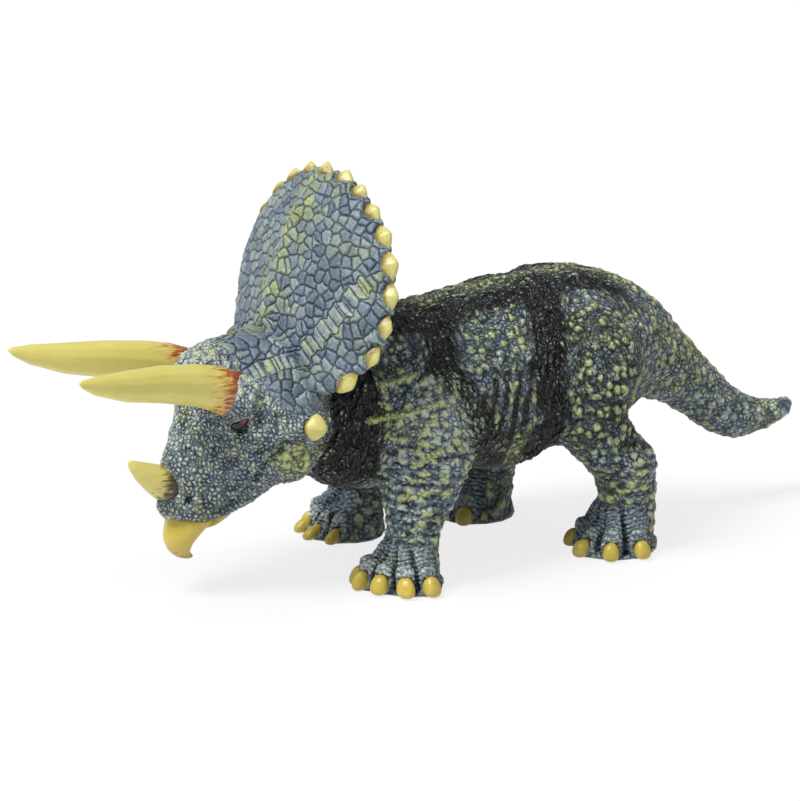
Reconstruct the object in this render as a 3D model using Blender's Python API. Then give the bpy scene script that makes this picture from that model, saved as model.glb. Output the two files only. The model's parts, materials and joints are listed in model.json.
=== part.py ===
"""Walking horned dinosaur, a moulded and hand-painted figure that stands on four feet.

All lengths are metres. A point of the figure is (forward, left, up), measured from the
ground under the trunk. The empty named figure turns the pieces so that the figure faces
-X with its left side toward -Y, and sets the middle of its box over the origin.
"""

import math
from collections import namedtuple

import bmesh
import bpy
import numpy as np
from mathutils import Matrix, Vector

# Fit between neighbouring pieces, and how far cutters and joined shapes run past a face
CLEARANCE = 0.0003
OVERRUN = 0.0010

# Trunk and tail, measured forward from the ground mark under the trunk
RUMP_JOINT = -0.050
NECK_END = 0.054
HIP_HEIGHT = 0.0705
TRUNK_HALF_WIDTH = 0.0275
TAIL_LENGTH = 0.048
CAVITY_WALL = 0.0020
PIN_RADIUS = 0.0018
PIN_LENGTH = 0.0030
TAIL_SPIGOT_RADIUS = 0.0065
TAIL_SPIGOT_LENGTH = 0.0070

# Legs: where each foot stands and where each limb meets the trunk
LEFT_FORE_STEP = 0.0310
RIGHT_FORE_STEP = 0.0192
LEFT_HIND_STEP = -0.0320
RIGHT_HIND_STEP = -0.0182
FORE_FOOT_OUT = 0.0245
HIND_FOOT_OUT = 0.0225
SHOULDER_FORWARD = 0.0190
SHOULDER_OUT = 0.0185
SHOULDER_RADIUS = 0.0135
HIP_FORWARD = -0.0260
HIP_OUT = 0.0170
HIP_RADIUS = 0.0160
FOOT_RADIUS = 0.0103
FOOT_HEIGHT = 0.0080
SOCKET_FLOOR = 0.0165
LIMB_PLUG_RADIUS = 0.0040
LIMB_PLUG_LENGTH = 0.0030

# Toes and nails
TOE_WIDTH = 0.0062
TOE_REACH = 0.0072
TOE_DEPTH = 0.0088
NAIL_WIDTH = 0.0046
NAIL_HEIGHT = 0.0054
NAIL_REACH = 0.0046
NAIL_LIFT = 0.0008

# Head, from the back of the skull to the snout and from the beak joint to the crown
HEAD_REAR = 0.0430
FACE_FRONT = 0.0862
BEAK_JOINT = 0.0205
CROWN_HEIGHT = 0.0640
FACE_HALF_WIDTH = 0.0220

# Frill
FRILL_TOP = 0.1024
FRILL_FOOT = 0.0500
FRILL_CENTRE = 0.0720
FRILL_HALF_WIDTH = 0.0345
FRILL_REAR = 0.0354
FRILL_LEAN = 0.0175
FRILL_BULGE = 0.0080
FRILL_THICKNESS = 0.0062
STUD_LENGTH = 0.0062
STUD_REACH = 0.0042
STUD_DEPTH = 0.0052

# Horns, beak, cheek knobs and eyes
BROW_HORN_LENGTH = 0.0480
BROW_HORN_RADIUS = 0.0061
BROW_HORN_FORWARD = 0.0722
BROW_HORN_OUT = 0.0120
BROW_HORN_UP = 0.0530
BROW_BOSS_LENGTH = 0.0190
BROW_BOSS_WIDTH = 0.0148
BROW_BOSS_SETBACK = 0.0016
NOSE_HORN_LENGTH = 0.0150
NOSE_HORN_RADIUS = 0.0047
NOSE_HORN_FORWARD = 0.0810
NOSE_HORN_UP = 0.0275
BEAK_DROP = 0.0117
BEAK_HALF_WIDTH = 0.0080
BEAK_DEPTH = 0.0107
LOWER_BEAK_FRONT = 0.0765
LOWER_BEAK_DEPTH = 0.0070
LOWER_BEAK_HALF_WIDTH = 0.0056
LOWER_BEAK_DROP = 0.0050
TENON_RADIUS = 0.0018
TENON_LENGTH = 0.0020
KNOB_SETBACK = 0.0302
KNOB_UP = 0.0452
KNOB_RADIUS = 0.0028
KNOB_REACH = 0.0036
EYE_SETBACK = 0.0140
EYE_UP = 0.0452
EYE_LENGTH = 0.0050
EYE_HEIGHT = 0.0034
EYE_DEPTH = 0.0030

# Counts of facets, of repeated pieces and of steps between the rows of a table
TRUNK_SIDES = 18
TAIL_SIDES = 16
LEG_SIDES = 14
SKULL_SIDES = 24
FRILL_SIDES = 32
HORN_SIDES = 12
PIN_SIDES = 10
BEAK_SIDES = 16
BALL_SEGMENTS = 8
BALL_RINGS = 5
CAVITY_SEGMENTS = 12
CAVITY_RINGS = 8
BOSS_SEGMENTS = 12
BOSS_RINGS = 8
STUDS_A_SIDE = 9
ROW_STEPS = 2
OUTLINE_STEPS = 4
SHARP_ANGLE = math.radians(40)

# Trunk: forward share of its length, then top, bottom and widest height as shares of the
# hip height, and half width as a share of the greatest
TRUNK_SHARES = (
    (0.000, 0.862, 0.457, 0.645, 0.447),
    (0.058, 0.911, 0.411, 0.645, 0.636),
    (0.144, 0.964, 0.376, 0.638, 0.818),
    (0.240, 0.990, 0.352, 0.638, 0.927),
    (0.365, 0.970, 0.336, 0.610, 0.982),
    (0.481, 0.943, 0.329, 0.596, 1.000),
    (0.596, 0.926, 0.316, 0.603, 0.982),
    (0.712, 0.920, 0.298, 0.610, 0.927),
    (0.798, 0.912, 0.298, 0.624, 0.818),
    (0.865, 0.901, 0.362, 0.645, 0.727),
    (0.923, 0.887, 0.418, 0.660, 0.655),
    (1.000, 0.851, 0.468, 0.667, 0.564),
)

# Tail: backward share of its length, then the same shares as the trunk's
TAIL_SHARES = (
    (0.000, 0.862, 0.457, 0.645, 0.447),
    (0.146, 0.787, 0.426, 0.606, 0.371),
    (0.292, 0.674, 0.369, 0.521, 0.298),
    (0.417, 0.576, 0.302, 0.443, 0.262),
    (0.563, 0.466, 0.245, 0.352, 0.233),
    (0.708, 0.383, 0.237, 0.310, 0.182),
    (0.854, 0.350, 0.260, 0.304, 0.130),
    (0.958, 0.352, 0.288, 0.318, 0.085),
)
TAIL_TIP_SHARE = 0.328
BACK_POWER_SHARE = 1.14
BELLY_POWER_SHARE = 0.95

# Cavity between the trunk halves: length share, middle's height share and height share
CAVITY_SHARES = (0.577, 0.624, 0.296)

# Where the limbs end in the trunk and where their sockets' flats end, as height shares
SHOULDER_TOP_SHARE = 0.766
HIP_TOP_SHARE = 0.879
SOCKET_LOW_SHARE = 0.383

# Pins that line up the two trunk halves: forward share and height share
TORSO_PIN_SHARES = ((0.885, 0.65), (0.500, 0.39), (0.115, 0.81))

# Limbs: height share, lean toward the shoulder or hip, setback as a share of the foot's
# radius, then fore-and-aft and sideways radius as shares of the limb's greatest
FORELEG_SHARES = (
    (0.20, 0.04, 0.24, 0.53, 0.54),
    (0.28, 0.16, 0.24, 0.52, 0.54),
    (0.40, 0.43, 0.14, 0.66, 0.67),
    (0.56, 0.72, 0.05, 0.88, 0.84),
    (0.74, 0.93, 0.00, 1.00, 0.95),
    (0.88, 1.00, 0.00, 0.82, 0.80),
    (0.97, 1.00, 0.00, 0.44, 0.44),
)
HINDLEG_SHARES = (
    (0.18, 0.00, 0.28, 0.47, 0.48),
    (0.26, 0.02, 0.30, 0.50, 0.51),
    (0.35, 0.14, 0.28, 0.59, 0.58),
    (0.45, 0.46, 0.08, 0.66, 0.70),
    (0.58, 0.90, -0.10, 0.80, 0.84),
    (0.73, 1.00, 0.00, 1.00, 0.90),
    (0.87, 1.00, 0.00, 0.82, 0.76),
    (0.97, 1.00, 0.00, 0.44, 0.42),
)

# Foot: height share and radius share, from the sole up
FOOT_SHARES = (
    (0.00, 0.95),
    (0.12, 1.00),
    (0.50, 0.90),
)

LIMB_PLUG_UP_SHARE = 0.76
TOE_OUT_SHARE = 0.78
TOE_UP_SHARE = 0.32
NAIL_OUT_SHARE = 1.03
NAIL_TWIST_SHARE = 0.5

# Turn of each toe outward from straight ahead, as shares of a half turn
FORE_TOE_TURN_SHARES = (-0.23, -0.03, 0.17, 0.36, 0.56)
HIND_TOE_TURN_SHARES = (-0.25, 0.05, 0.30, 0.54)

# Skull: height share from the beak joint to the crown, rear and front as shares of the
# head's length, half width share, and how much it narrows toward the snout
SKULL_SHARES = (
    (0.000, 0.610, 0.990, 0.386, 0.20),
    (0.103, 0.410, 1.000, 0.477, 0.25),
    (0.218, 0.210, 0.995, 0.591, 0.35),
    (0.333, 0.050, 0.977, 0.773, 0.45),
    (0.448, 0.000, 0.949, 0.932, 0.50),
    (0.563, 0.000, 0.926, 1.000, 0.50),
    (0.678, 0.035, 0.917, 0.980, 0.42),
    (0.793, 0.069, 0.891, 0.900, 0.34),
    (0.908, 0.139, 0.810, 0.636, 0.30),
    (0.977, 0.255, 0.648, 0.409, 0.20),
)
CROWN_FORWARD_SHARE = 0.44

# Frill outline from the top down the left side: left share of its half width and height
# share from its foot to its top
FRILL_OUTLINE_SHARES = (
    (0.000, 1.000),
    (0.203, 0.989),
    (0.374, 0.955),
    (0.588, 0.878),
    (0.748, 0.790),
    (0.899, 0.663),
    (0.985, 0.506),
    (1.000, 0.375),
    (0.957, 0.243),
    (0.870, 0.140),
    (0.725, 0.071),
    (0.464, 0.019),
    (0.000, 0.000),
)

# Frill rim: height share, and forward share of its lean
FRILL_RIM_SHARES = (
    (0.000, 1.00),
    (0.096, 0.88),
    (0.193, 0.58),
    (0.324, 0.40),
    (0.506, 0.23),
    (0.663, 0.13),
    (0.809, 0.05),
    (1.000, 0.00),
)

# Frill section from its middle out to the rim: share of the way out, thickness share
FRILL_SECTION_SHARES = (
    (0.340, 0.97),
    (0.660, 0.88),
    (0.880, 0.76),
    (0.975, 0.60),
    (1.000, 0.26),
)

# Studs: how much of the rim carries them, from its top, and how far they stand out
STUD_RUN_SHARE = 0.72
STUD_OUT_SHARE = 0.10

# Brow horn: share of its length forward, outward and up, then radius share
BROW_HORN_SHARES = (
    (0.00, 0.000, 0.000, 1.00),
    (0.10, 0.002, 0.046, 0.96),
    (0.23, 0.006, 0.086, 0.88),
    (0.45, 0.026, 0.128, 0.78),
    (0.67, 0.058, 0.157, 0.66),
    (0.86, 0.095, 0.196, 0.43),
    (0.95, 0.111, 0.221, 0.21),
)
BROW_HORN_TIP_SHARES = (1.00, 0.121, 0.242)

# Nose horn: share of its length forward and up, then radius share
NOSE_HORN_SHARES = (
    (0.00, 0.00, 1.00),
    (0.27, 0.10, 0.96),
    (0.47, 0.22, 0.82),
    (0.70, 0.37, 0.57),
    (0.87, 0.50, 0.31),
)
NOSE_HORN_TIP_SHARES = (0.99, 0.62)

# Beak: drop share, front and rear as shares of its depth behind the front, width share
UPPER_BEAK_SHARES = (
    (0.00, 0.00, 1.00, 1.00),
    (0.21, 0.05, 0.86, 0.90),
    (0.42, 0.10, 0.79, 0.75),
    (0.66, 0.19, 0.72, 0.55),
    (0.78, 0.26, 0.70, 0.46),
    (0.91, 0.42, 0.85, 0.33),
)
UPPER_BEAK_TIP_SHARE = 0.72
LOWER_BEAK_SHARES = (
    (0.00, 0.00, 1.00, 1.00),
    (0.60, -0.10, 0.50, 0.70),
)
LOWER_BEAK_TIP_SHARE = -0.15
BEAK_TAPER_SHARE = 0.20

# Paints: colour as sRGB hex and roughness
PAINTS = {
    "slate_skin": ("5f7180", 0.55),
    "horn_yellow": ("d8c85a", 0.35),
    "beak_ochre": ("c9ab3e", 0.35),
    "nail_yellow": ("d9b936", 0.35),
    "eye_black": ("2a1716", 0.15),
}


def clear_scene():
    """Removes what a new file starts with."""
    for thing in list(bpy.data.objects):
        bpy.data.objects.remove(thing, do_unlink=True)


def linear(hex_colour):
    """The linear colour of an sRGB hex value."""
    shades = [int(hex_colour[i : i + 2], 16) / 255 for i in (0, 2, 4)]
    bent = [s / 12.92 if s <= 0.04045 else ((s + 0.055) / 1.055) ** 2.4 for s in shades]
    return (*bent, 1.0)


def paint(name):
    """One paint as a material, made once."""
    found = bpy.data.materials.get(name)
    if found:
        return found
    colour, roughness = PAINTS[name]
    made = bpy.data.materials.new(name)
    made.use_nodes = True
    surface = made.node_tree.nodes["Principled BSDF"]
    surface.inputs["Base Color"].default_value = linear(colour)
    surface.inputs["Roughness"].default_value = roughness
    surface.inputs["Metallic"].default_value = 0.0
    made.diffuse_color = linear(colour)
    return made


def blended(rows, steps):
    """The rows of a table with more between them, on a smooth curve through all."""
    rows = np.array(rows, float)
    ends = np.vstack([2 * rows[0] - rows[1], rows, 2 * rows[-1] - rows[-2]])
    out = []
    for before, here, there, after in zip(ends, ends[1:], ends[2:], ends[3:]):
        for t in np.arange(steps) / steps:
            line = (there - before) * t
            bend = (2 * before - 5 * here + 4 * there - after) * t**2
            twist = (3 * here - before - 3 * there + after) * t**3
            out.append(here + (line + bend + twist) / 2)
    out.append(rows[-1])
    return np.array(out)


def solid(name, points, faces):
    """A mesh object from points and faces, with its faces turned outward."""
    mesh = bpy.data.meshes.new(name)
    mesh.from_pydata([tuple(point) for point in points], [], faces)
    shape = bmesh.new()
    shape.from_mesh(mesh)
    bmesh.ops.recalc_face_normals(shape, faces=shape.faces)
    shape.to_mesh(mesh)
    shape.free()
    made = bpy.data.objects.new(name, mesh)
    bpy.context.scene.collection.objects.link(made)
    return made


def loft(name, rings, start=None, end=None):
    """A closed skin over rings of as many points each. An end is flat, or runs to a point."""
    sides = len(rings[0])
    points = [point for ring in rings for point in ring]
    faces = []
    for low in range(0, len(points) - sides, sides):
        for k in range(sides):
            corner = low + k
            beside = low + (k + 1) % sides
            faces.append((corner, beside, beside + sides))
            faces.append((corner, beside + sides, corner + sides))
    for tip, first in ((start, 0), (end, len(points) - sides)):
        edge = [first + k for k in range(sides)]
        if tip is None:
            faces.append(edge)
            continue
        points.append(tip)
        faces += [(edge[k - 1], edge[k], len(points) - 1) for k in range(sides)]
    return solid(name, points, faces)


def combine(target, tool, operation):
    """Joins a tool to a piece, or cuts the piece with it, and removes the tool."""
    step = target.modifiers.new(operation.lower(), "BOOLEAN")
    step.operation = operation
    step.solver = "EXACT"
    step.object = tool
    graph = bpy.context.evaluated_depsgraph_get()
    mesh = bpy.data.meshes.new_from_object(target.evaluated_get(graph))
    target.modifiers.clear()
    target.data = mesh
    bpy.data.objects.remove(tool, do_unlink=True)


def cut(target, *tools):
    for tool in tools:
        combine(target, tool, "DIFFERENCE")


def join(target, *tools):
    for tool in tools:
        combine(target, tool, "UNION")


def ball(centre, radii, turn, segments=BALL_SEGMENTS, rings=BALL_RINGS, twist=0):
    """An egg with its own axes turned by a matrix, and its facets by a share of one."""
    shape = bmesh.new()
    facet = Matrix.Rotation(2 * math.pi * twist / segments, 4, "Z")
    size = Matrix.Diagonal((*radii, 1))
    place = Matrix.Translation(centre) @ turn.to_4x4() @ size @ facet
    bmesh.ops.create_uvsphere(
        shape, u_segments=segments, v_segments=rings, radius=1, matrix=place
    )
    mesh = bpy.data.meshes.new("ball")
    shape.to_mesh(mesh)
    shape.free()
    made = bpy.data.objects.new("ball", mesh)
    bpy.context.scene.collection.objects.link(made)
    return made


def box(low, high):
    """A block between two corners."""
    low, high = Vector(low), Vector(high)
    shape = bmesh.new()
    place = Matrix.Translation((low + high) / 2) @ Matrix.Diagonal((*(high - low), 1))
    bmesh.ops.create_cube(shape, size=1, matrix=place)
    mesh = bpy.data.meshes.new("box")
    shape.to_mesh(mesh)
    shape.free()
    made = bpy.data.objects.new("box", mesh)
    bpy.context.scene.collection.objects.link(made)
    return made


def tube(name, path, radii, sides=PIN_SIDES, tip=None):
    """A round bar along a path, flat at its start and flat or pointed at its end."""
    path = [Vector(point) for point in path]
    ahead = path[1:] + [Vector(tip) if tip is not None else 2 * path[-1] - path[-2]]
    across = (ahead[0] - path[0]).orthogonal().normalized()
    rings = []
    for here, there, radius in zip(path, ahead, radii):
        along = (there - here).normalized()
        across = (across - along * across.dot(along)).normalized()
        other = along.cross(across)
        turns = [2 * math.pi * k / sides for k in range(sides)]
        rings.append(
            [
                here + radius * (math.cos(t) * across + math.sin(t) * other)
                for t in turns
            ]
        )
    return loft(name, rings, end=tip)


def rod(start, end, radius):
    """A straight round pin between two points."""
    return tube("rod", [start, end], [radius, radius])


def turned_out(turn, side):
    """A level direction, turned outward from straight ahead by a share of a half turn."""
    angle = turn * math.pi
    return Vector((math.cos(angle), side * math.sin(angle), 0))


def facing(out):
    """Axes with X along a direction and Z as near to up as it can be."""
    out = out.normalized()
    left = Vector((0, 0, 1)).cross(out).normalized()
    return Matrix((out, left, out.cross(left))).transposed()


def oval(half_width, above, below, sides):
    """A ring of (left, up) points, ridged above its widest line and full below it."""
    ring = []
    for k in range(sides):
        angle = 2 * math.pi * (k + 0.5) / sides
        left, up = math.cos(angle), math.sin(angle)
        power = BACK_POWER_SHARE if up > 0 else BELLY_POWER_SHARE
        left = math.copysign(abs(left) ** power, left)
        up = math.copysign(abs(up) ** power, up)
        ring.append((half_width * left, (above if up > 0 else below) * up))
    return ring


def barrel_ring(forward, shares, sides, grow):
    """An upright section of the trunk or the tail."""
    top, bottom, widest, width = shares
    widest = HIP_HEIGHT * widest
    above = HIP_HEIGHT * top + grow - widest
    below = widest + grow - HIP_HEIGHT * bottom
    ring = oval(TRUNK_HALF_WIDTH * width + grow, above, below, sides)
    return [(forward, left, widest + up) for left, up in ring]


def trunk(grow=0):
    """The trunk with its neck as one outer form, or that form grown to cut its seat."""
    rows = blended(TRUNK_SHARES, ROW_STEPS)
    forward = RUMP_JOINT + (NECK_END - RUMP_JOINT) * rows[:, 0]
    forward[0] -= grow
    forward[-1] += grow
    rings = [
        barrel_ring(place, row[1:], TRUNK_SIDES, grow)
        for place, row in zip(forward, rows)
    ]
    return loft("trunk", rings)


def trunk_place(forward_share, left, up_share):
    """A point of the trunk from its length and the hip height."""
    forward = RUMP_JOINT + (NECK_END - RUMP_JOINT) * forward_share
    return (forward, left, HIP_HEIGHT * up_share)


def tail_spigot(grow=0):
    """The peg of the tail, which both trunk halves close on."""
    up = HIP_HEIGHT * TAIL_SHARES[0][3]
    root = (RUMP_JOINT - CLEARANCE - OVERRUN, 0, up)
    end = (RUMP_JOINT + TAIL_SPIGOT_LENGTH + grow, 0, up)
    return rod(root, end, TAIL_SPIGOT_RADIUS + grow)


def torso(side):
    """One half of the hollow trunk, with its limb sockets, tail seat and locating pins."""
    half = trunk()
    length, middle, height = CAVITY_SHARES
    reach = SOCKET_FLOOR - LIMB_PLUG_LENGTH - CAVITY_WALL
    radii = ((NECK_END - RUMP_JOINT) * length / 2, reach, HIP_HEIGHT * height / 2)
    centre = trunk_place(0.5, 0, middle)
    cavity = ball(centre, radii, Matrix.Identity(3), CAVITY_SEGMENTS, CAVITY_RINGS)
    past = TRUNK_HALF_WIDTH + OVERRUN
    edges = sorted((-side * past, side * CLEARANCE / 2))
    other_half = box(
        (RUMP_JOINT - OVERRUN, edges[0], 0),
        (NECK_END + OVERRUN, edges[1], HIP_HEIGHT + OVERRUN),
    )
    cut(half, cavity, other_half, tail_spigot(CLEARANCE))
    for limb in LIMBS:
        if limb.side == side:
            cut(half, limb_form(limb, CLEARANCE), limb_plug(limb, CLEARANCE))
    for forward, up in TORSO_PIN_SHARES:
        if side > 0:
            ends = [trunk_place(forward, reach, up) for reach in (PIN_LENGTH, -PIN_LENGTH)]
            join(half, rod(*ends, PIN_RADIUS))
        else:
            depth = PIN_LENGTH + CLEARANCE
            ends = [trunk_place(forward, reach, up) for reach in (OVERRUN, -depth)]
            cut(half, rod(*ends, PIN_RADIUS + CLEARANCE))
    return half


def tail():
    """The tail, which drops behind the rump and turns up at its tip."""
    rows = blended(TAIL_SHARES, ROW_STEPS)
    rings = [
        barrel_ring(RUMP_JOINT - TAIL_LENGTH * row[0], row[1:], TAIL_SIDES, 0)
        for row in rows
    ]
    rings[0] = [(forward - CLEARANCE, left, up) for forward, left, up in rings[0]]
    tip = (RUMP_JOINT - TAIL_LENGTH, 0, HIP_HEIGHT * TAIL_TIP_SHARE)
    made = loft("tail", rings, end=tip)
    join(made, tail_spigot())
    return made


Limb = namedtuple(
    "Limb", "name side step foot_out root_forward root_out top radius rows toes"
)
SHOULDER_TOP = HIP_HEIGHT * SHOULDER_TOP_SHARE
HIP_TOP = HIP_HEIGHT * HIP_TOP_SHARE
FORE = (FORE_FOOT_OUT, SHOULDER_FORWARD, SHOULDER_OUT, SHOULDER_TOP, SHOULDER_RADIUS)
HIND = (HIND_FOOT_OUT, HIP_FORWARD, HIP_OUT, HIP_TOP, HIP_RADIUS)
LIMBS = (
    Limb("foreleg_left", 1, LEFT_FORE_STEP, *FORE, FORELEG_SHARES, FORE_TOE_TURN_SHARES),
    Limb("foreleg_right", -1, RIGHT_FORE_STEP, *FORE, FORELEG_SHARES, FORE_TOE_TURN_SHARES),
    Limb("hindleg_left", 1, LEFT_HIND_STEP, *HIND, HINDLEG_SHARES, HIND_TOE_TURN_SHARES),
    Limb("hindleg_right", -1, RIGHT_HIND_STEP, *HIND, HINDLEG_SHARES, HIND_TOE_TURN_SHARES),
)


def limb_form(limb, grow=0):
    """A limb from its flat sole to its rounded top, flat where it sits in its socket."""
    turns = [2 * math.pi * k / LEG_SIDES for k in range(LEG_SIDES)]
    rows = []
    for height, radius in FOOT_SHARES:
        size = FOOT_RADIUS * radius
        rows.append((height * FOOT_HEIGHT, limb.step, limb.foot_out, size, size))
    for height, lean, setback, along, across in blended(limb.rows, ROW_STEPS):
        forward = limb.step + (limb.root_forward - limb.step) * lean
        forward -= setback * FOOT_RADIUS
        out = limb.foot_out + (limb.root_out - limb.foot_out) * lean
        sizes = (limb.radius * along, limb.radius * across)
        rows.append((height * limb.top, forward, out, *sizes))
    rings = []
    for up, forward, out, along, across in rows:
        floor = SOCKET_FLOOR - grow - max(0, HIP_HEIGHT * SOCKET_LOW_SHARE - up)
        ring = []
        for turn in turns:
            left = max(out + (across + grow) * math.sin(turn), floor)
            ahead = forward + (along + grow) * math.cos(turn)
            ring.append((ahead, limb.side * left, up))
        rings.append(ring)
    top = (limb.root_forward, limb.side * limb.root_out, limb.top + grow)
    return loft(limb.name, rings, end=top)


def limb_plug(limb, grow=0):
    """The round plug on the flat of a limb."""
    up = limb.top * LIMB_PLUG_UP_SHARE
    root = (limb.root_forward, limb.side * (SOCKET_FLOOR + OVERRUN), up)
    reach = SOCKET_FLOOR - LIMB_PLUG_LENGTH - grow
    return rod(root, (limb.root_forward, limb.side * reach, up), LIMB_PLUG_RADIUS + grow)


def foot_place(limb, turn, out_share, up):
    """A point above the ground, out from the middle of a foot."""
    middle = Vector((limb.step, limb.side * limb.foot_out, up))
    return middle + turned_out(turn, limb.side) * FOOT_RADIUS * out_share


def toe(limb, turn):
    centre = foot_place(limb, turn, TOE_OUT_SHARE, TOE_DEPTH * TOE_UP_SHARE)
    radii = (TOE_REACH / 2, TOE_WIDTH / 2, TOE_DEPTH / 2)
    return ball(centre, radii, facing(turned_out(turn, limb.side)))


def nail(limb, turn, grow=0):
    """A domed nail, or the same form grown to cut its seat."""
    centre = foot_place(limb, turn, NAIL_OUT_SHARE, NAIL_LIFT + NAIL_HEIGHT / 2)
    radii = [size / 2 + grow for size in (NAIL_REACH, NAIL_WIDTH, NAIL_HEIGHT)]
    return ball(centre, radii, facing(turned_out(turn, limb.side)), twist=NAIL_TWIST_SHARE)


def leg(limb):
    """A leg with its plug, its toes, its flat sole and a seat for each nail."""
    made = limb_form(limb)
    join(made, limb_plug(limb), *[toe(limb, turn) for turn in limb.toes])
    reach = FOOT_RADIUS + TOE_REACH
    middle = Vector((limb.step, limb.side * limb.foot_out, 0))
    under = box(middle - Vector((reach, reach, TOE_DEPTH)), middle + Vector((reach, reach, 0)))
    cut(made, under, *[nail(limb, turn, CLEARANCE) for turn in limb.toes])
    return made


def skull():
    """The head from the beak joint to the crown, in level sections."""
    length = FACE_FRONT - HEAD_REAR
    rings = []
    for height, rear, front, width, taper in blended(SKULL_SHARES, ROW_STEPS):
        up = BEAK_JOINT + (CROWN_HEIGHT - BEAK_JOINT) * height
        middle = HEAD_REAR + length * (rear + front) / 2
        reach = length * (front - rear) / 2
        ring = []
        for k in range(SKULL_SIDES):
            ahead, left = egg(2 * math.pi * (k + 0.5) / SKULL_SIDES, taper)
            ring.append((middle + reach * ahead, FACE_HALF_WIDTH * width * left, up))
        rings.append(ring)
    crown = (HEAD_REAR + length * CROWN_FORWARD_SHARE, 0, CROWN_HEIGHT)
    return loft("head", rings, end=crown)


def egg(angle, taper):
    """A point of a level egg that narrows forward, one unit long and wide each way."""
    ahead = math.cos(angle)
    return ahead, math.sin(angle) * (1 - taper * ahead)


def face_mark(forward, up, side):
    """The point on the side of the face at a place, and its level direction outward."""
    height = (up - BEAK_JOINT) / (CROWN_HEIGHT - BEAK_JOINT)
    table = np.array(SKULL_SHARES).T
    rear, front, width, taper = [np.interp(height, table[0], row) for row in table[1:]]
    length = FACE_FRONT - HEAD_REAR
    middle = HEAD_REAR + length * (rear + front) / 2
    reach = length * (front - rear) / 2
    half = FACE_HALF_WIDTH * width
    angle = math.acos((forward - middle) / reach)
    ahead, left = egg(angle, taper)
    slope = half * (ahead * (1 - taper * ahead) + taper * math.sin(angle) ** 2)
    out = Vector((slope, side * reach * math.sin(angle), 0)).normalized()
    return Vector((forward, side * half * left, up)), out


def rim_forward(up):
    """How far forward the rim of the frill stands at a height."""
    height = (up - FRILL_FOOT) / (FRILL_TOP - FRILL_FOOT)
    table = np.array(FRILL_RIM_SHARES).T
    return FRILL_REAR + FRILL_LEAN * np.interp(height, table[0], table[1])


def frill_edge(shares):
    """The (left, up) points of the rim at shares of its run, from the top down the left."""
    rows = blended(FRILL_OUTLINE_SHARES, OUTLINE_STEPS)
    points = rows * (FRILL_HALF_WIDTH, FRILL_TOP - FRILL_FOOT) + (0, FRILL_FOOT)
    steps = np.hypot(*np.diff(points, axis=0).T)
    run = np.concatenate([[0], np.cumsum(steps)])
    wanted = np.asarray(shares) * run[-1]
    return np.column_stack([np.interp(wanted, run, column) for column in points.T])


def frill():
    """The upright shield behind the head, swept back and bulging at its middle."""
    left_side = frill_edge(np.linspace(0, 1, FRILL_SIDES // 2 + 1))
    right_side = left_side[-2:0:-1] * (-1, 1)
    edge = np.vstack([left_side, right_side])
    centre = np.array((0, FRILL_CENTRE))
    rings = []
    for face in (1, -1):
        for out, thickness in FRILL_SECTION_SHARES[::face]:
            offset = FRILL_BULGE * (1 - out**2) + face * FRILL_THICKNESS * thickness / 2
            ring = centre + out * (edge - centre)
            rings.append([(rim_forward(up) + offset, left, up) for left, up in ring])
    middle = rim_forward(FRILL_CENTRE) + FRILL_BULGE
    front = (middle + FRILL_THICKNESS / 2, 0, FRILL_CENTRE)
    back = (middle - FRILL_THICKNESS / 2, 0, FRILL_CENTRE)
    return loft("frill", rings, start=front, end=back)


def stud(number, side, grow=0):
    """A knuckle astride the rim of the frill, or the same form grown to cut its seat."""
    share = STUD_RUN_SHARE * (number + 0.5) / STUDS_A_SIDE
    nudge = STUD_RUN_SHARE / STUDS_A_SIDE / 2
    before, here, after = frill_edge([share - nudge, share, share + nudge])
    run = Vector((0, *(after - before) * (side, 1))).normalized()
    out = run.cross(Vector((side, 0, 0)))
    centre = Vector((rim_forward(here[1]), side * here[0], here[1]))
    centre += out * STUD_REACH * STUD_OUT_SHARE
    radii = [size / 2 + grow for size in (STUD_DEPTH, STUD_LENGTH, STUD_REACH)]
    turn = Matrix((out.cross(run) * -1, run, out)).transposed()
    return ball(centre, radii, turn)


def horn(name, path, radii, tip, grow):
    """A horn on a curved path, or the same form grown to cut its seat."""
    along = (path[1] - path[0]).normalized()
    path[0] = path[0] - along * grow
    return tube(name, path, [radius + grow for radius in radii], HORN_SIDES, tip)


def brow_horn(side, grow=0):
    """A long brow horn, which sags and then turns up at its tip."""
    root = Vector((BROW_HORN_FORWARD, side * BROW_HORN_OUT, BROW_HORN_UP))
    rows = [*BROW_HORN_SHARES, (*BROW_HORN_TIP_SHARES, 0)]
    path = [
        root + BROW_HORN_LENGTH * Vector((ahead, side * out, up))
        for ahead, out, up, _ in rows
    ]
    radii = [BROW_HORN_RADIUS * row[3] for row in rows]
    return horn("brow_horn", path[:-1], radii[:-1], path[-1], grow)


def nose_horn(grow=0):
    """The short nose horn, which curves up."""
    root = Vector((NOSE_HORN_FORWARD, 0, NOSE_HORN_UP))
    rows = [*NOSE_HORN_SHARES, (*NOSE_HORN_TIP_SHARES, 0)]
    path = [root + NOSE_HORN_LENGTH * Vector((ahead, 0, up)) for ahead, up, _ in rows]
    radii = [NOSE_HORN_RADIUS * row[2] for row in rows]
    return horn("nose_horn", path[:-1], radii[:-1], path[-1], grow)


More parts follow.
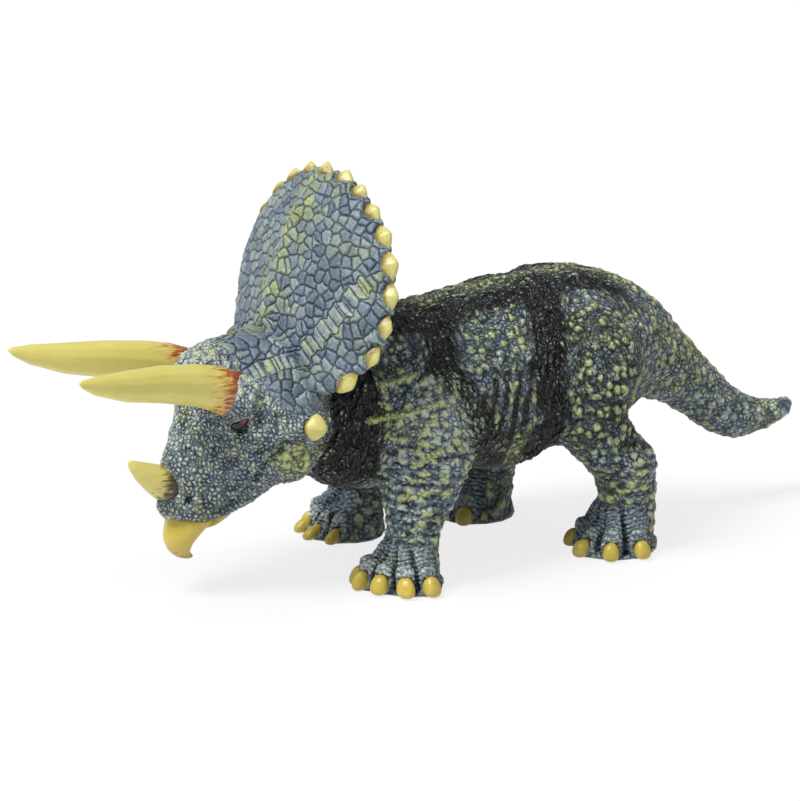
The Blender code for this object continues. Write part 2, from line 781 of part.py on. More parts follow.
def beak(name, rows, tip_share, front, depth, half_width, drop, grow=0):
    """A beak half from its flat joint down to its point, in level sections."""
    top = BEAK_JOINT - CLEARANCE + grow
    rings = []
    for fall, ahead, behind, width in blended(rows, ROW_STEPS):
        middle = front - depth * (ahead + behind) / 2
        reach = depth * (behind - ahead) / 2 + grow
        half = half_width * width + grow
        ring = []
        for k in range(BEAK_SIDES):
            along, left = egg(2 * math.pi * (k + 0.5) / BEAK_SIDES, BEAK_TAPER_SHARE)
            ring.append((middle + reach * along, half * left, top - drop * fall))
        rings.append(ring)
    tip = (front - depth * tip_share, 0, top - drop - 2 * grow)
    return loft(name, rings, end=tip)


def lower_beak(grow=0):
    """The lower beak, tucked up behind the upper one."""
    sizes = (LOWER_BEAK_FRONT, LOWER_BEAK_DEPTH, LOWER_BEAK_HALF_WIDTH, LOWER_BEAK_DROP)
    return beak("beak_lower", LOWER_BEAK_SHARES, LOWER_BEAK_TIP_SHARE, *sizes, grow)


def tenon(forward, grow=0):
    """The peg that stands up from a beak half into the head."""
    low = (forward, 0, BEAK_JOINT - CLEARANCE - OVERRUN)
    high = (forward, 0, BEAK_JOINT + TENON_LENGTH + grow)
    return rod(low, high, TENON_RADIUS + grow)


def knob(side, grow=0):
    """The blunt horn on a cheek."""
    centre, out = face_mark(FACE_FRONT - KNOB_SETBACK, KNOB_UP, side)
    radii = (KNOB_REACH + grow, KNOB_RADIUS + grow, KNOB_RADIUS + grow)
    return ball(centre, radii, facing(out))


def eye(side, grow=0):
    centre, out = face_mark(FACE_FRONT - EYE_SETBACK, EYE_UP, side)
    centre -= out * EYE_DEPTH / 4
    radii = [size / 2 + grow for size in (EYE_DEPTH, EYE_LENGTH, EYE_HEIGHT)]
    return ball(centre, radii, facing(out))


def brow_boss(side):
    """The swelling of the brow that a horn grows out of."""
    forward = BROW_HORN_FORWARD - BROW_BOSS_SETBACK
    centre = (forward, side * BROW_HORN_OUT, BROW_HORN_UP)
    radii = (BROW_BOSS_LENGTH / 2, BROW_BOSS_WIDTH / 2, BROW_BOSS_WIDTH / 2)
    return ball(centre, radii, Matrix.Identity(3), BOSS_SEGMENTS, BOSS_RINGS)


UPPER_TENON_FORWARD = FACE_FRONT - BEAK_DEPTH / 2
LOWER_TENON_FORWARD = LOWER_BEAK_FRONT - LOWER_BEAK_DEPTH / 2


def head():
    """The head and frill as one moulding, with the seats of all that is set into it."""
    made = skull()
    join(made, frill(), brow_boss(1), brow_boss(-1))
    cut(made, trunk(CLEARANCE), nose_horn(CLEARANCE))
    cut(made, tenon(UPPER_TENON_FORWARD, CLEARANCE), tenon(LOWER_TENON_FORWARD, CLEARANCE))
    for side in (1, -1):
        cut(made, brow_horn(side, CLEARANCE), knob(side, CLEARANCE), eye(side, CLEARANCE))
        cut(made, *[stud(number, side, CLEARANCE) for number in range(STUDS_A_SIDE)])
    return made


def upper_beak():
    """The hooked upper beak, which the lower one tucks up behind."""
    sizes = (FACE_FRONT, BEAK_DEPTH, BEAK_HALF_WIDTH, BEAK_DROP)
    made = beak("beak_upper", UPPER_BEAK_SHARES, UPPER_BEAK_TIP_SHARE, *sizes)
    cut(made, lower_beak(CLEARANCE))
    join(made, tenon(UPPER_TENON_FORWARD))
    return made


def lower_beak_piece():
    made = lower_beak()
    join(made, tenon(LOWER_TENON_FORWARD))
    return made


def finish(made, name, paint_name):
    """Names and paints a piece and shades it smooth."""
    made.name = name
    made.data.name = name
    made.data.materials.clear()
    made.data.materials.append(paint(paint_name))
    made.data.shade_smooth()
    made.data.set_sharp_from_angle(angle=SHARP_ANGLE)
    return made


def build():
    """Makes every piece of the figure."""
    pieces = [
        finish(torso(1), "torso_left", "slate_skin"),
        finish(torso(-1), "torso_right", "slate_skin"),
        finish(tail(), "tail", "slate_skin"),
        finish(head(), "head", "slate_skin"),
        finish(nose_horn(), "nose_horn", "horn_yellow"),
        finish(upper_beak(), "beak_upper", "beak_ochre"),
        finish(lower_beak_piece(), "beak_lower", "beak_ochre"),
    ]
    for limb in LIMBS:
        pieces.append(finish(leg(limb), limb.name, "slate_skin"))
        for number, turn in enumerate(limb.toes, start=1):
            name = f"{limb.name}_nail_{number}"
            pieces.append(finish(nail(limb, turn), name, "nail_yellow"))
    for side, word in ((1, "left"), (-1, "right")):
        pieces.append(finish(brow_horn(side), f"brow_horn_{word}", "horn_yellow"))
        pieces.append(finish(knob(side), f"cheek_horn_{word}", "nail_yellow"))
        pieces.append(finish(eye(side), f"eye_{word}", "eye_black"))
        for number in range(STUDS_A_SIDE):
            name = f"frill_stud_{word}_{number + 1}"
            pieces.append(finish(stud(number, side), name, "nail_yellow"))
    return pieces


def stand(pieces):
    """Faces the figure toward -X and sets the middle of its box over the origin."""
    ahead = [point.co.x for piece in pieces for point in piece.data.vertices]
    figure = bpy.data.objects.new("figure", None)
    bpy.context.scene.collection.objects.link(figure)
    figure.rotation_euler.z = math.pi
    figure.location.x = (max(ahead) + min(ahead)) / 2
    for piece in pieces:
        piece.parent = figure


clear_scene()
stand(build())
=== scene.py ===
"""Looks of a hand-painted horned dinosaur figure: skin, horns, beak, nails, studs, eyes.

Lengths are millimetres unless a name says otherwise. A point of the figure is written as
(forward, left, up) from the ground mark under its trunk.
"""

import json
import math

import bpy
import numpy as np
import openvdb as vdb
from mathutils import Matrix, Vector

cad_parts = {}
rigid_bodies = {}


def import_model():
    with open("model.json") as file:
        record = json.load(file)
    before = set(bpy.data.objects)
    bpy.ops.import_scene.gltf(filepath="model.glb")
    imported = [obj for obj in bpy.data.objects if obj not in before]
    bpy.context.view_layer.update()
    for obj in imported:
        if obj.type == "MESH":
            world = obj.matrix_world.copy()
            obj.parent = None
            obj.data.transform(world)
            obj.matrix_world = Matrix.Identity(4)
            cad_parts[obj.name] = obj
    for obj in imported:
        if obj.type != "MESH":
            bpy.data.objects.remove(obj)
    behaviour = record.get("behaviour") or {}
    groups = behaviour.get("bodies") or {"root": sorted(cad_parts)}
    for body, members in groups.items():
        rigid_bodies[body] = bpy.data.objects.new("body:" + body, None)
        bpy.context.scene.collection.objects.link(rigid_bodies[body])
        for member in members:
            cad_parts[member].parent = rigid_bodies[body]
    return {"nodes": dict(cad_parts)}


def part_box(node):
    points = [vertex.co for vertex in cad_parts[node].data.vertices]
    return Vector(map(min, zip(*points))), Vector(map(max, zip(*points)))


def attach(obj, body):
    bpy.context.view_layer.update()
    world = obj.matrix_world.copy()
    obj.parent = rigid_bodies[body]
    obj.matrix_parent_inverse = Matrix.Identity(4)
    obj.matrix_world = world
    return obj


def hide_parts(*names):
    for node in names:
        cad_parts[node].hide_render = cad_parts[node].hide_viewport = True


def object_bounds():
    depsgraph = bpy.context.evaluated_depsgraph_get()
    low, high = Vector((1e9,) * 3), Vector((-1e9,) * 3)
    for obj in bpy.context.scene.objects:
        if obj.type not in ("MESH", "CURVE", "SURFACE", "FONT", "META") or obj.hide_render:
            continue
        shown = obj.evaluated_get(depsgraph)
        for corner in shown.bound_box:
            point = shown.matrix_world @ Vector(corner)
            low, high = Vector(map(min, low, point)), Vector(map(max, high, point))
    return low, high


for thing in list(bpy.data.objects):
    bpy.data.objects.remove(thing, do_unlink=True)
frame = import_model()
cad_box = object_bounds()

MM = 0.001
GROUND_MARK = 11.1  # how far behind the middle of the box the ground mark lies

# Middle of each foot on the ground: forward, left
FEET = {
    "foreleg_left": (31.0, 24.5),
    "foreleg_right": (19.2, -24.5),
    "hindleg_left": (-32.0, 22.5),
    "hindleg_right": (-18.2, -22.5),
}
SKIN = ("head", "torso_left", "torso_right", "tail", *FEET)

# Sampling of the skin: spacing of its points, and how far a distance is known
VOXEL = 0.4
BAND = 4.0
SEAM_FILL = 0.2  # how far each node's form is grown, to close the seams
BLEND = 3.0  # how far a leg is rounded into the trunk
TUCK = 0.35  # how deep the skin closes under a horn, nail, stud or eye

# Sizes of the scales: round knobs, fine pebbles, and the plates of the frill
KNOB, PEBBLE, PLATE = 2.35, 1.15, 3.0

KEEL_LEFT = -4.5  # how far left of the middle the frill's keel lies: below 0 is to the right
BARS_LEAN = (0.846, 0.533)  # cosine and sine of the lean of the band of long plates


def linear(hex_colour):
    """The linear colour of an sRGB hex value."""
    shades = [int(hex_colour[i : i + 2], 16) / 255 for i in (0, 2, 4)]
    bent = [s / 12.92 if s <= 0.04045 else ((s + 0.055) / 1.055) ** 2.4 for s in shades]
    return (*bent, 1.0)


def add(tree, kind, sockets=None, **settings):
    """Adds a node with its settings, and with links or values on its sockets.

    Colour stops are given as (place, colour) from low to high.
    """
    node = tree.nodes.new(kind)
    for place, colour in settings.pop("stops", ()):
        end = {0.0: 0, 1.0: -1}.get(place)
        stop = node.color_ramp.elements.new(place) if end is None else node.color_ramp.elements[end]
        stop.color = linear(colour)
    for name, value in settings.items():
        setattr(node, name, value)
    for name, value in (sockets or {}).items():
        socket = node.inputs[name]
        if isinstance(value, bpy.types.Node):
            tree.links.new(value.outputs[0], socket)
        elif isinstance(value, bpy.types.NodeSocket):
            tree.links.new(value, socket)
        else:
            socket.default_value = value
    return node


# Forms as points and faces, in world millimetres


def figure_places(points):
    """World millimetres as (forward, left, up)."""
    return np.column_stack([GROUND_MARK - points[:, 0], -points[:, 1], points[:, 2]])


def world_points(places):
    """(forward, left, up) as world millimetres."""
    return np.column_stack([GROUND_MARK - places[:, 0], -places[:, 1], places[:, 2]])


def node_form(node):
    """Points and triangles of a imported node."""
    mesh = frame["nodes"][node].data
    points = np.empty(len(mesh.vertices) * 3, np.float32)
    mesh.vertices.foreach_get("co", points)
    mesh.calc_loop_triangles()
    corners = np.empty(len(mesh.loop_triangles) * 3, np.int32)
    mesh.loop_triangles.foreach_get("vertices", corners)
    return points.reshape(-1, 3) / MM, corners.reshape(-1, 3)


def distances(form, voxel):
    """Distance to a form, as an array, with the grid index it starts at."""
    points, faces = form
    grid = vdb.FloatGrid.createLevelSetFromPolygons(
        points.astype(np.float32),
        **{"triangles" if faces.shape[1] == 3 else "quads": faces.astype(np.int32)},
        transform=vdb.createLinearTransform(voxelSize=voxel),
        halfWidth=BAND / voxel,
    )
    first = np.floor((points.min(axis=0) - BAND) / voxel).astype(int)
    last = np.ceil((points.max(axis=0) + BAND) / voxel).astype(int)
    field = np.empty(last - first + 1, np.float32)
    grid.copyToArray(field, ijk=tuple(int(i) for i in first))
    return field, first


def surface(field, first, voxel):
    """Points and four-cornered faces where a field is zero."""
    grid = vdb.FloatGrid(BAND)
    grid.transform = vdb.createLinearTransform(voxelSize=voxel)
    grid.copyFromArray(field, ijk=tuple(int(i) for i in first))
    points, _, quads = grid.convertToPolygons(isovalue=0.0, adaptivity=0.0)
    return points, quads


def smooth_min(a, b, reach):
    """The lesser of two distances, rounded where they are alike."""
    h = np.clip(0.5 + 0.5 * (b - a) / reach, 0, 1)
    return b * (1 - h) + a * h - reach * h * (1 - h)


def blurred(field, times):
    """A field softened by its neighbours along each axis."""
    for _ in range(times):
        for axis in range(3):
            field = np.swapaxes(field, 0, axis)
            middle = field[1:-1] * 0.5
            middle += 0.25 * field[:-2]
            middle += 0.25 * field[2:]
            field = np.concatenate([field[:1], middle, field[-1:]])
            field = np.swapaxes(field, 0, axis)
    return np.ascontiguousarray(field)


def largest_shell(points, faces):
    """Drops closed pockets: what is left is the outer skin."""
    label = np.arange(len(points))
    ends = np.concatenate([faces[:, [k, (k + 1) % 4]] for k in range(4)])
    while True:
        low = np.minimum(label[ends[:, 0]], label[ends[:, 1]])
        new = label.copy()
        np.minimum.at(new, ends[:, 0], low)
        np.minimum.at(new, ends[:, 1], low)
        new = new[new]
        if (new == label).all():
            break
        label = new
    values, counts = np.unique(label, return_counts=True)
    kept = label == values[counts.argmax()]
    index = np.cumsum(kept) - 1
    return points[kept], index[faces[kept[faces[:, 0]]]]


def evened(points, faces, rounds, grow=-0.52):
    """Smooths a surface, without shrinking it while grow undoes each step."""
    ends = np.concatenate([faces[:, [k, (k + 1) % 4]] for k in range(4)])
    degree = np.bincount(ends.ravel(), minlength=len(points))[:, None]
    for step in range(2 * rounds):
        total = np.empty_like(points)
        for axis in range(3):
            column = points[:, axis]
            total[:, axis] = np.bincount(ends[:, 0], column[ends[:, 1]], len(points))
            total[:, axis] += np.bincount(ends[:, 1], column[ends[:, 0]], len(points))
        points = points + (total / degree - points) * (0.5 if step % 2 == 0 else grow)
    return points


def normals_of(points, faces):
    """Which way a surface faces at each of its points."""
    a, b, c, d = [points[faces[:, k]] for k in range(4)]
    face = np.cross(c - a, d - b)
    out = np.zeros_like(points)
    for k in range(4):
        for axis in range(3):
            out[:, axis] += np.bincount(faces[:, k], face[:, axis], len(points))
    return out / np.maximum(np.linalg.norm(out, axis=1, keepdims=True), 1e-12)


def ball(cuts):
    """Directions evenly over a ball, with the four-cornered faces between them."""
    line = np.tan(np.linspace(-1, 1, cuts + 1) * math.pi / 4)
    a, b = np.meshgrid(line, line, indexing="ij")
    one = np.ones_like(a)
    sheets = ((one, a, b), (-one, b, a), (b, one, a), (a, -one, b), (a, b, one), (b, a, -one))
    points = np.concatenate([np.stack(sheet, -1).reshape(-1, 3) for sheet in sheets])
    corner = (np.arange(cuts)[:, None] * (cuts + 1) + np.arange(cuts)).ravel()
    quad = np.stack([corner, corner + cuts + 1, corner + cuts + 2, corner + 1], -1)
    faces = np.concatenate([quad + k * (cuts + 1) ** 2 for k in range(6)])
    spots, index = np.unique(np.round(points, 6), axis=0, return_inverse=True)
    return spots / np.linalg.norm(spots, axis=1, keepdims=True), index.reshape(-1)[faces]


# Weights over the figure


def rise(value, low, high):
    """A smooth step from 0 at low to 1 at high."""
    t = np.clip((value - low) / (high - low), 0, 1)
    return t * t * (3 - 2 * t)


def mound(place, centre, radii):
    """1 at a centre, easing to 0 at the radii round it."""
    far = (((place - np.array(centre)) / np.array(radii)) ** 2).sum(axis=1)
    return np.clip(1 - far, 0, 1) ** 2


def path_distance(place, path):
    """Distance of each point to a path of points."""
    nearest = np.full(len(place), 1e9)
    for start, end in zip(np.array(path, float), np.array(path[1:], float)):
        along = end - start
        t = np.clip((place - start) @ along / (along @ along), 0, 1)
        nearest = np.minimum(nearest, ((place - start - t[:, None] * along) ** 2).sum(axis=1))
    return np.sqrt(nearest)


def ridge(place, path, width):
    """1 along a path of points, easing to 0 at its width."""
    return np.clip(1 - (path_distance(place, path) / width) ** 2, 0, 1) ** 2


def unit(vector):
    """A vector of length 1 in the same direction."""
    return np.array(vector, float) / np.linalg.norm(vector)


# Horns, beak, nails, studs and eyes


def node_middle(node):
    """Middle of a node's box as (forward, left, up)."""
    low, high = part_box(node)
    return figure_places(np.array([[(a + b) / 2 / MM for a, b in zip(low, high)]]))[0]


def settled(place, node):
    """Places of a nail, stud, knob or eye, moved as the skin under it is."""
    under = node.rsplit("_nail_", 1)[0] if "nail" in node else "head"
    return moved(place, np.full(len(place), SKIN.index(under)))


def knuckle(middle, along, out, half, power):
    """A blunt-pointed lump: half sizes along, across and outwards."""
    across = np.cross(out, along)
    away, faces = ball(14)
    away = away / (np.abs(away) ** power).sum(axis=1, keepdims=True) ** (1 / power)
    places = middle + away[:, :1] * half[0] * along + away[:, 1:2] * half[1] * across
    places = places + away[:, 2:] * half[2] * out
    return world_points(places), faces


STUD_HALF = np.array((3.9, 2.3, 3.1))
STUDS_A_SIDE = 9
FRILL_MIDDLE = np.array((44.0, 0.0, 72.0))


def stud_form(node):
    """A pointed knuckle lying along the rim of the frill."""
    side, number = node.split("_")[2], int(node.split("_")[3])
    before = f"frill_stud_{side}_{number - 1}"
    if number == 1:
        before = f"frill_stud_{'right' if side == 'left' else 'left'}_1"
    after = f"frill_stud_{side}_{min(number + 1, STUDS_A_SIDE)}"
    middle = node_middle(node)
    along = unit(node_middle(after) - node_middle(before))
    out = middle - FRILL_MIDDLE
    out = unit(out - along * (out @ along))
    half = STUD_HALF * (1 + 0.1 * math.sin(5.1 * number + (side == "left")))
    return knuckle(middle + along * 0.9 - out * 0.8, along, out, half, 1.3)


CHEEK_HALF = (3.5, 3.3, 3.9)


def cheek_out(side):
    """Which way a cheek knob points, sideways and back: side is 1 for left, -1 for right."""
    return unit((-0.35, side, 0))


def cheek_form(node):
    """The cheek knob: a blunt pointed lump."""
    out = cheek_out(1 if node.endswith("left") else -1)
    return knuckle(node_middle(node), unit((-0.2, 0, 1)), out, CHEEK_HALF, 1.45)


NAIL_SIZES = {
    "foreleg_left": 0.95,
    "foreleg_right": 0.72,
    "hindleg_left": 0.86,
    "hindleg_right": 0.86,
}
NAIL_POWER = 2.3  # how square the nail's outline is: 2 is round


def nail_form(node):
    """A hoof-like nail, broad and flat on the ground, narrower where it leaves the toe."""
    middle = node_middle(node)
    leg = node.rsplit("_nail_", 1)[0]
    size = NAIL_SIZES[leg]
    out = unit((*(middle[:2] - FEET[leg]), 0))
    aside = np.array((-out[1], out[0], 0))
    away, faces = ball(14)
    away = away / (np.abs(away) ** NAIL_POWER).sum(axis=1, keepdims=True) ** (1 / NAIL_POWER)
    height = away[:, 2]
    wide = away[:, 1] * 2.35 * (1 - 0.18 * height)
    deep = away[:, 0] * (2.3 - 0.4 * height) - 0.5 * height
    up = np.maximum(2.9 + 2.7 * height, 0.35) * size
    flat = (deep[:, None] * size + 0.4) * out[:2] + wide[:, None] * size * aside[:2]
    places = np.column_stack([middle[:2] + flat, up])
    return world_points(places), faces


EYE = np.array((72.4, 15.2, 46.6))
EYE_ALONG = unit((-0.50, 0.62, 0.55))
EYE_OUT = (0.72, 0.66, 0.1)
EYE_HALF = (3.3, 1.6, 2.1)
IRIS_SHIFT = (0.1, 1.9, 1.2)  # middle of the iris from the middle of the eye
IRIS_RADIUS = 1.15


def eye_form(node):
    """An almond eyeball, tilted up to the rear."""
    side = np.array((1, 1 if node.endswith("left") else -1, 1))
    along = EYE_ALONG * side
    out = np.array(EYE_OUT) * side
    out = unit(out - along * (out @ along))
    return knuckle(EYE * side, along, out, EYE_HALF, 1.7)


def rounded(node, voxel, rounds):
    """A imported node's form with its facets smoothed away."""
    field, first = distances(node_form(node), voxel)
    points, faces = largest_shell(*surface(blurred(field, 2), first, voxel))
    return evened(points, faces, rounds), faces


def dressed_forms():
    """The forms of everything that the skin holds."""
    forms = {}
    for node in sorted(set(frame["nodes"]) - set(SKIN)):
        if "nail" in node:
            forms[node] = nail_form(node)
        elif "stud" in node:
            forms[node] = stud_form(node)
        elif "cheek" in node:
            forms[node] = cheek_form(node)
        elif "eye" in node:
            forms[node] = eye_form(node)
        else:
            points, faces = rounded(node, 0.3, 16 if "horn" in node else 8)
            if "beak" in node:
                points[:, 0] += 2.9 * rise(points[:, 2], 13, 21)
            forms[node] = points, faces
    return forms


# Skin


def window(piece, start):
    """Where a smaller array lies in a larger one."""
    return tuple(slice(int(a), int(a + n)) for a, n in zip(start, piece.shape))


def skin_surface(forms):
    """One skin over the skin nodes, closed under all that it holds.

    Gives its points and faces, which node each point belongs to, and how far it is from a horn,
    nail, stud or eye.
    """
    low, high = np.array(cad_box[0]) / MM - 7, np.array(cad_box[1]) / MM + 7
    first = np.floor(low / VOXEL).astype(int)
    size = np.ceil(high / VOXEL).astype(int) - first + 1
    field = np.full(size, BAND, np.float32)
    pieces = []
    for node in SKIN:
        piece, start = distances(node_form(node), VOXEL)
        place = window(piece, start - first)
        field[place] = smooth_min(field[place], piece - SEAM_FILL, BLEND if node in FEET else 1.0)
        pieces.append((place, piece))
    held = np.full(size, BAND, np.float32)
    for node, form in forms.items():
        piece, start = distances(form, VOXEL)
        place = window(piece, start - first)
        held[place] = np.minimum(held[place], piece)
    field = np.minimum(field, held + TUCK)
    points, faces = largest_shell(*surface(blurred(field, 3), first, VOXEL))
    spot = np.rint(points / VOXEL).astype(int) - first
    best = np.full(len(points), 1e9)
    owner = np.zeros(len(points), int)
    for number, (place, piece) in enumerate(pieces):
        start = np.array([part.start for part in place])
        inside = ((spot >= start) & (spot < start + piece.shape)).all(axis=1)
        far = np.full(len(points), 1e9)
        far[inside] = piece[tuple((spot[inside] - start).T)]
        owner[far < best] = number
        best = np.minimum(best, far)
    return points, faces, owner, held[tuple(spot.T)]


def among(owner, *nodes):
    """Whether each point belongs to one of these nodes."""
    return np.isin(owner, [SKIN.index(node) for node in nodes])


def foot_places(place, owner):
    """Places of the legs' points from the middle of their foot: forward, outwards, up."""
    local = np.full_like(place, 99.0)
    for name, (step, left) in FEET.items():
        here = owner == SKIN.index(name)
        local[here] = (place[here] - (step, left, 0)) * (1, 1 if left > 0 else -1, 1)
    return local


def toes(place, owner):
    """Distance to the nearest toe's line and to the next, and how far along the nearest."""
    near, next_near, along = (np.full(len(place), 99.0) for _ in range(3))
    for leg, (step, left) in FEET.items():
        here = (owner == SKIN.index(leg)) & (place[:, 2] < 20)
        spots = place[here]
        one, two, reach = (np.full(len(spots), 99.0) for _ in range(3))
        for nail in [node for node in frame["nodes"] if node.startswith(f"{leg}_nail")]:
            middle = settled(node_middle(nail)[None], nail)[0]
            out = (middle[:2] - (step, left)) * 0.25
            start = np.array((step + out[0], left + out[1], 14.0))
            line = np.array((middle[0], middle[1], 4.5)) - start
            t = np.clip((spots - start) @ line / (line @ line), 0, 1)
            far = np.linalg.norm(spots - start - t[:, None] * line, axis=1)
            closer = far < one
            two = np.where(closer, one, np.minimum(two, far))
            reach = np.where(closer, t * np.linalg.norm(line), reach)
            one = np.minimum(one, far)
        near[here], next_near[here], along[here] = one, two, reach
    return near, next_near, along


SHOULDER_FOLD = ((13, 12, 63), (17, 22, 54), (13, 28, 43), (7, 27, 33), (2, 20, 26))
THIGH_FOLD = ((-19, 8, 67), (-14, 20, 58), (-11, 24.5, 50), (-12, 25.5, 38), (-9, 23, 27))
NECK_FOLD = ((45, 6, 55), (43, 16, 50), (44, 17.5, 42), (41, 14, 32), (38, 4, 28))
MOUTH_LINE = (
    *((74, 0, 22.5), (70.5, 0, 25.5), (67.1, 0, 29.7)),
    *((65.9, 0, 34), (64.1, 0, 38.4), (62.5, 0, 41.5)),
)
LOWER_LID = ((75.6, 12.4, 44.0), (73.2, 15.6, 43.6), (69.6, 18.6, 46.2))
UPPER_LID = ((75.6, 12.4, 46.4), (72.8, 14.8, 49.8), (69.6, 17.8, 51.2))
NOSTRIL = ((82.0, 6.6, 25.7), (82.0, 6.6, 26.1))
CHEEK_RIDGE = ((69, 19, 44), (63, 22, 44), (57, 23.5, 46))
BEAK_FOLD = ((80, 8, 40), (76, 11, 34), (71, 14, 30))
HEEL_FOLD = ((-9, 6, 30), (0, 8, 31), (7, 6, 28))
JAW_KNOBS = (59, 20, 36.5)  # middle of the patch of knobs on the jaw
STRIPES = (
    ((34.4, 19.4, 51.8), (25.0, 21.2, 53.2)),
    ((37.9, 20.4, 43.2), (30, 25, 45), (21.9, 28.8, 47.6)),
    ((29.8, 28.2, 32.5), (23.8, 31.4, 36.0)),
    ((30.2, 28.0, 28.6), (21.9, 31.2, 29.4)),
    ((32.4, 25.8, 23.6), (27.6, 30.0, 25.3)),
)
# Where the form swells or draws in: middle, radii, and which way (both sides alike)
MOVES = (
    ((56, 18, 33), (12, 14, 8), (0, 0, -3.6)),
    ((44, 7, 27), (12, 14, 10), (0, 0, -4.2)),
    ((-5, 17, 27), (15, 14, 8), (0, 0, -2.8)),
    ((82, 0, 46), (14, 28, 16), (-2.6, 0, 0)),
    ((66, 11, 61), (11, 10, 10), (0, 0, -4.0)),
    ((-22, 0, 69), (16, 10, 8), (0, 0, -1.2)),
    ((-42, 10, 38), (9, 13, 8), (3.5, 0, 1.6)),
    ((-52, 0, 58), (28, 12, 14), (0, 0, 0.9)),
    ((8, 0, 67), (22, 10, 8), (0, 0, 0.5)),
    ((66, 8, 26), (12, 14, 7), (0, 0, -1.2)),
)
# The same for each leg, from the middle of its foot: forward, outwards, up
FOOT_MOVES = {
    "foreleg_left": (
        ((10, 5, 2), (15, 13, 12), (-1.6, -3.4, 0)),
        ((8, 2, 10), (9, 13, 7), (-1.4, -1.2, -0.4)),
        ((-7, 0, 14), (7, 14, 12), (1.3, 0, 0)),
    ),
    "foreleg_right": (
        ((2, 0, 6), (17, 17, 17), (-2.6, 0, 0)),
        ((9, 0, 13), (9, 16, 8), (-3.4, 0, -0.6)),
        ((10, 0, 8), (9, 16, 8), (-2.6, 0, -0.5)),
    ),
    "hindleg_left": (
        ((-7, 3, 37), (10, 15, 13), (3.0, 0, 0)),
        ((5, 0, 18), (6, 14, 12), (-1.7, 0, 0)),
        ((9, 0, 9), (7, 14, 7), (-2.6, 0, -0.8)),
        ((-7, 0, 19), (6, 14, 10), (2.3, 0, 0)),
        ((-9, 0, 3), (6, 12, 6), (-0.9, 0, 0)),
    ),
    "hindleg_right": (((-7, 3, 37), (10, 15, 13), (3.0, 0, 0)),),
}
# The far corner of the frill lies nearer the skull
FRILL_MOVE = ((47, -28, 58), (14, 16, 18), (0.5, 3.2, -1.6))


def moved(place, owner):
    """The figure's points with its larger forms set right."""
    aside = place * (1, 1, 1)
    aside[:, 1] = np.abs(place[:, 1])
    side = np.where(place[:, 1:2] < 0, -1, 1)
    total = np.zeros_like(place)
    for middle, radii, way in MOVES:
        total += mound(aside, middle, radii)[:, None] * np.array(way, float)
    for leg, (step, left) in FEET.items():
        local = (place - (step, left, 0)) * (1, 1 if left > 0 else -1, 1)
        for middle, radii, way in FOOT_MOVES[leg]:
            total += mound(local, middle, radii)[:, None] * np.array(way, float)
    total[:, 1:2] *= side
    middle, radii, way = FRILL_MOVE
    here = mound(place, middle, radii) * among(owner, "head")
    total += here[:, None] * np.array(way, float)
    return place + total


def swollen(place, owner, toe):
    """How far the skin stands out at nostrils, mouth, cheeks, lids, keel, folds and toes, in millimetres."""
    aside = place * (1, 1, 1)
    aside[:, 1] = np.abs(aside[:, 1])
    local = foot_places(place, owner)
    head = among(owner, "head")
    trunk = among(owner, "torso_left", "torso_right")
    push = np.zeros(len(place))
    push += head * -1.5 * mound(aside, (82.0, 6.6, 25.9), (1.6, 2.5, 1.4))
    push += head * 0.6 * np.clip(1 - np.abs(path_distance(aside, NOSTRIL) - 2.4) / 1.3, 0, 1)
    push -= head * 1.5 * ridge(aside * (1, 0, 1), MOUTH_LINE, 1.9) * rise(aside[:, 1], 6, 10)
    push += head * 1.2 * mound(aside, (59.5, 19.5, 36.5), (9, 9, 6))
    push += head * 0.8 * ridge(aside, LOWER_LID, 1.5)
    push += head * 1.0 * ridge(aside, UPPER_LID, 1.7)
    push += head * 1.2 * ridge(aside, CHEEK_RIDGE, 3.5)
    push += head * 0.9 * ridge(aside, BEAK_FOLD, 3.0)
    keel = np.exp(-(((place[:, 1] - KEEL_LEFT) / 3.2) ** 2))
    push += head * 1.3 * keel * rise(place[:, 2], 60, 66) * rise(-place[:, 2], -101, -92)
    push -= trunk * 1.2 * ridge(aside, SHOULDER_FOLD, 6) + trunk * 1.3 * ridge(aside, THIGH_FOLD, 6)
    near, next_near, _ = toe
    low = rise(-place[:, 2], -13.5, -10.5) * rise(place[:, 2], 0.6, 2.0)
    push += low * 1.3 * np.clip(1 - (near / 3.4) ** 2, 0, 1)
    push -= low * 1.5 * (1 - rise(next_near - near, 0, 1.5)) * (next_near < 9)
    hind = among(owner, "hindleg_left", "hindleg_right")
    push += hind * 1.6 * mound(local, (-5.5, 4.0, 24.0), (6, 8, 5))
    push -= hind * 1.2 * ridge(local, HEEL_FOLD, 3.0)
    return push


ZONES = (
    *("frill", "bars", "face", "toe", "rows", "rings", "knobs"),  # kinds of scale
    *("dark", "stripe", "lime", "brush"),  # dark washes with painted shade, stripes and dry brush
    "bare",  # 0 where the skin is left smooth round what it holds
)


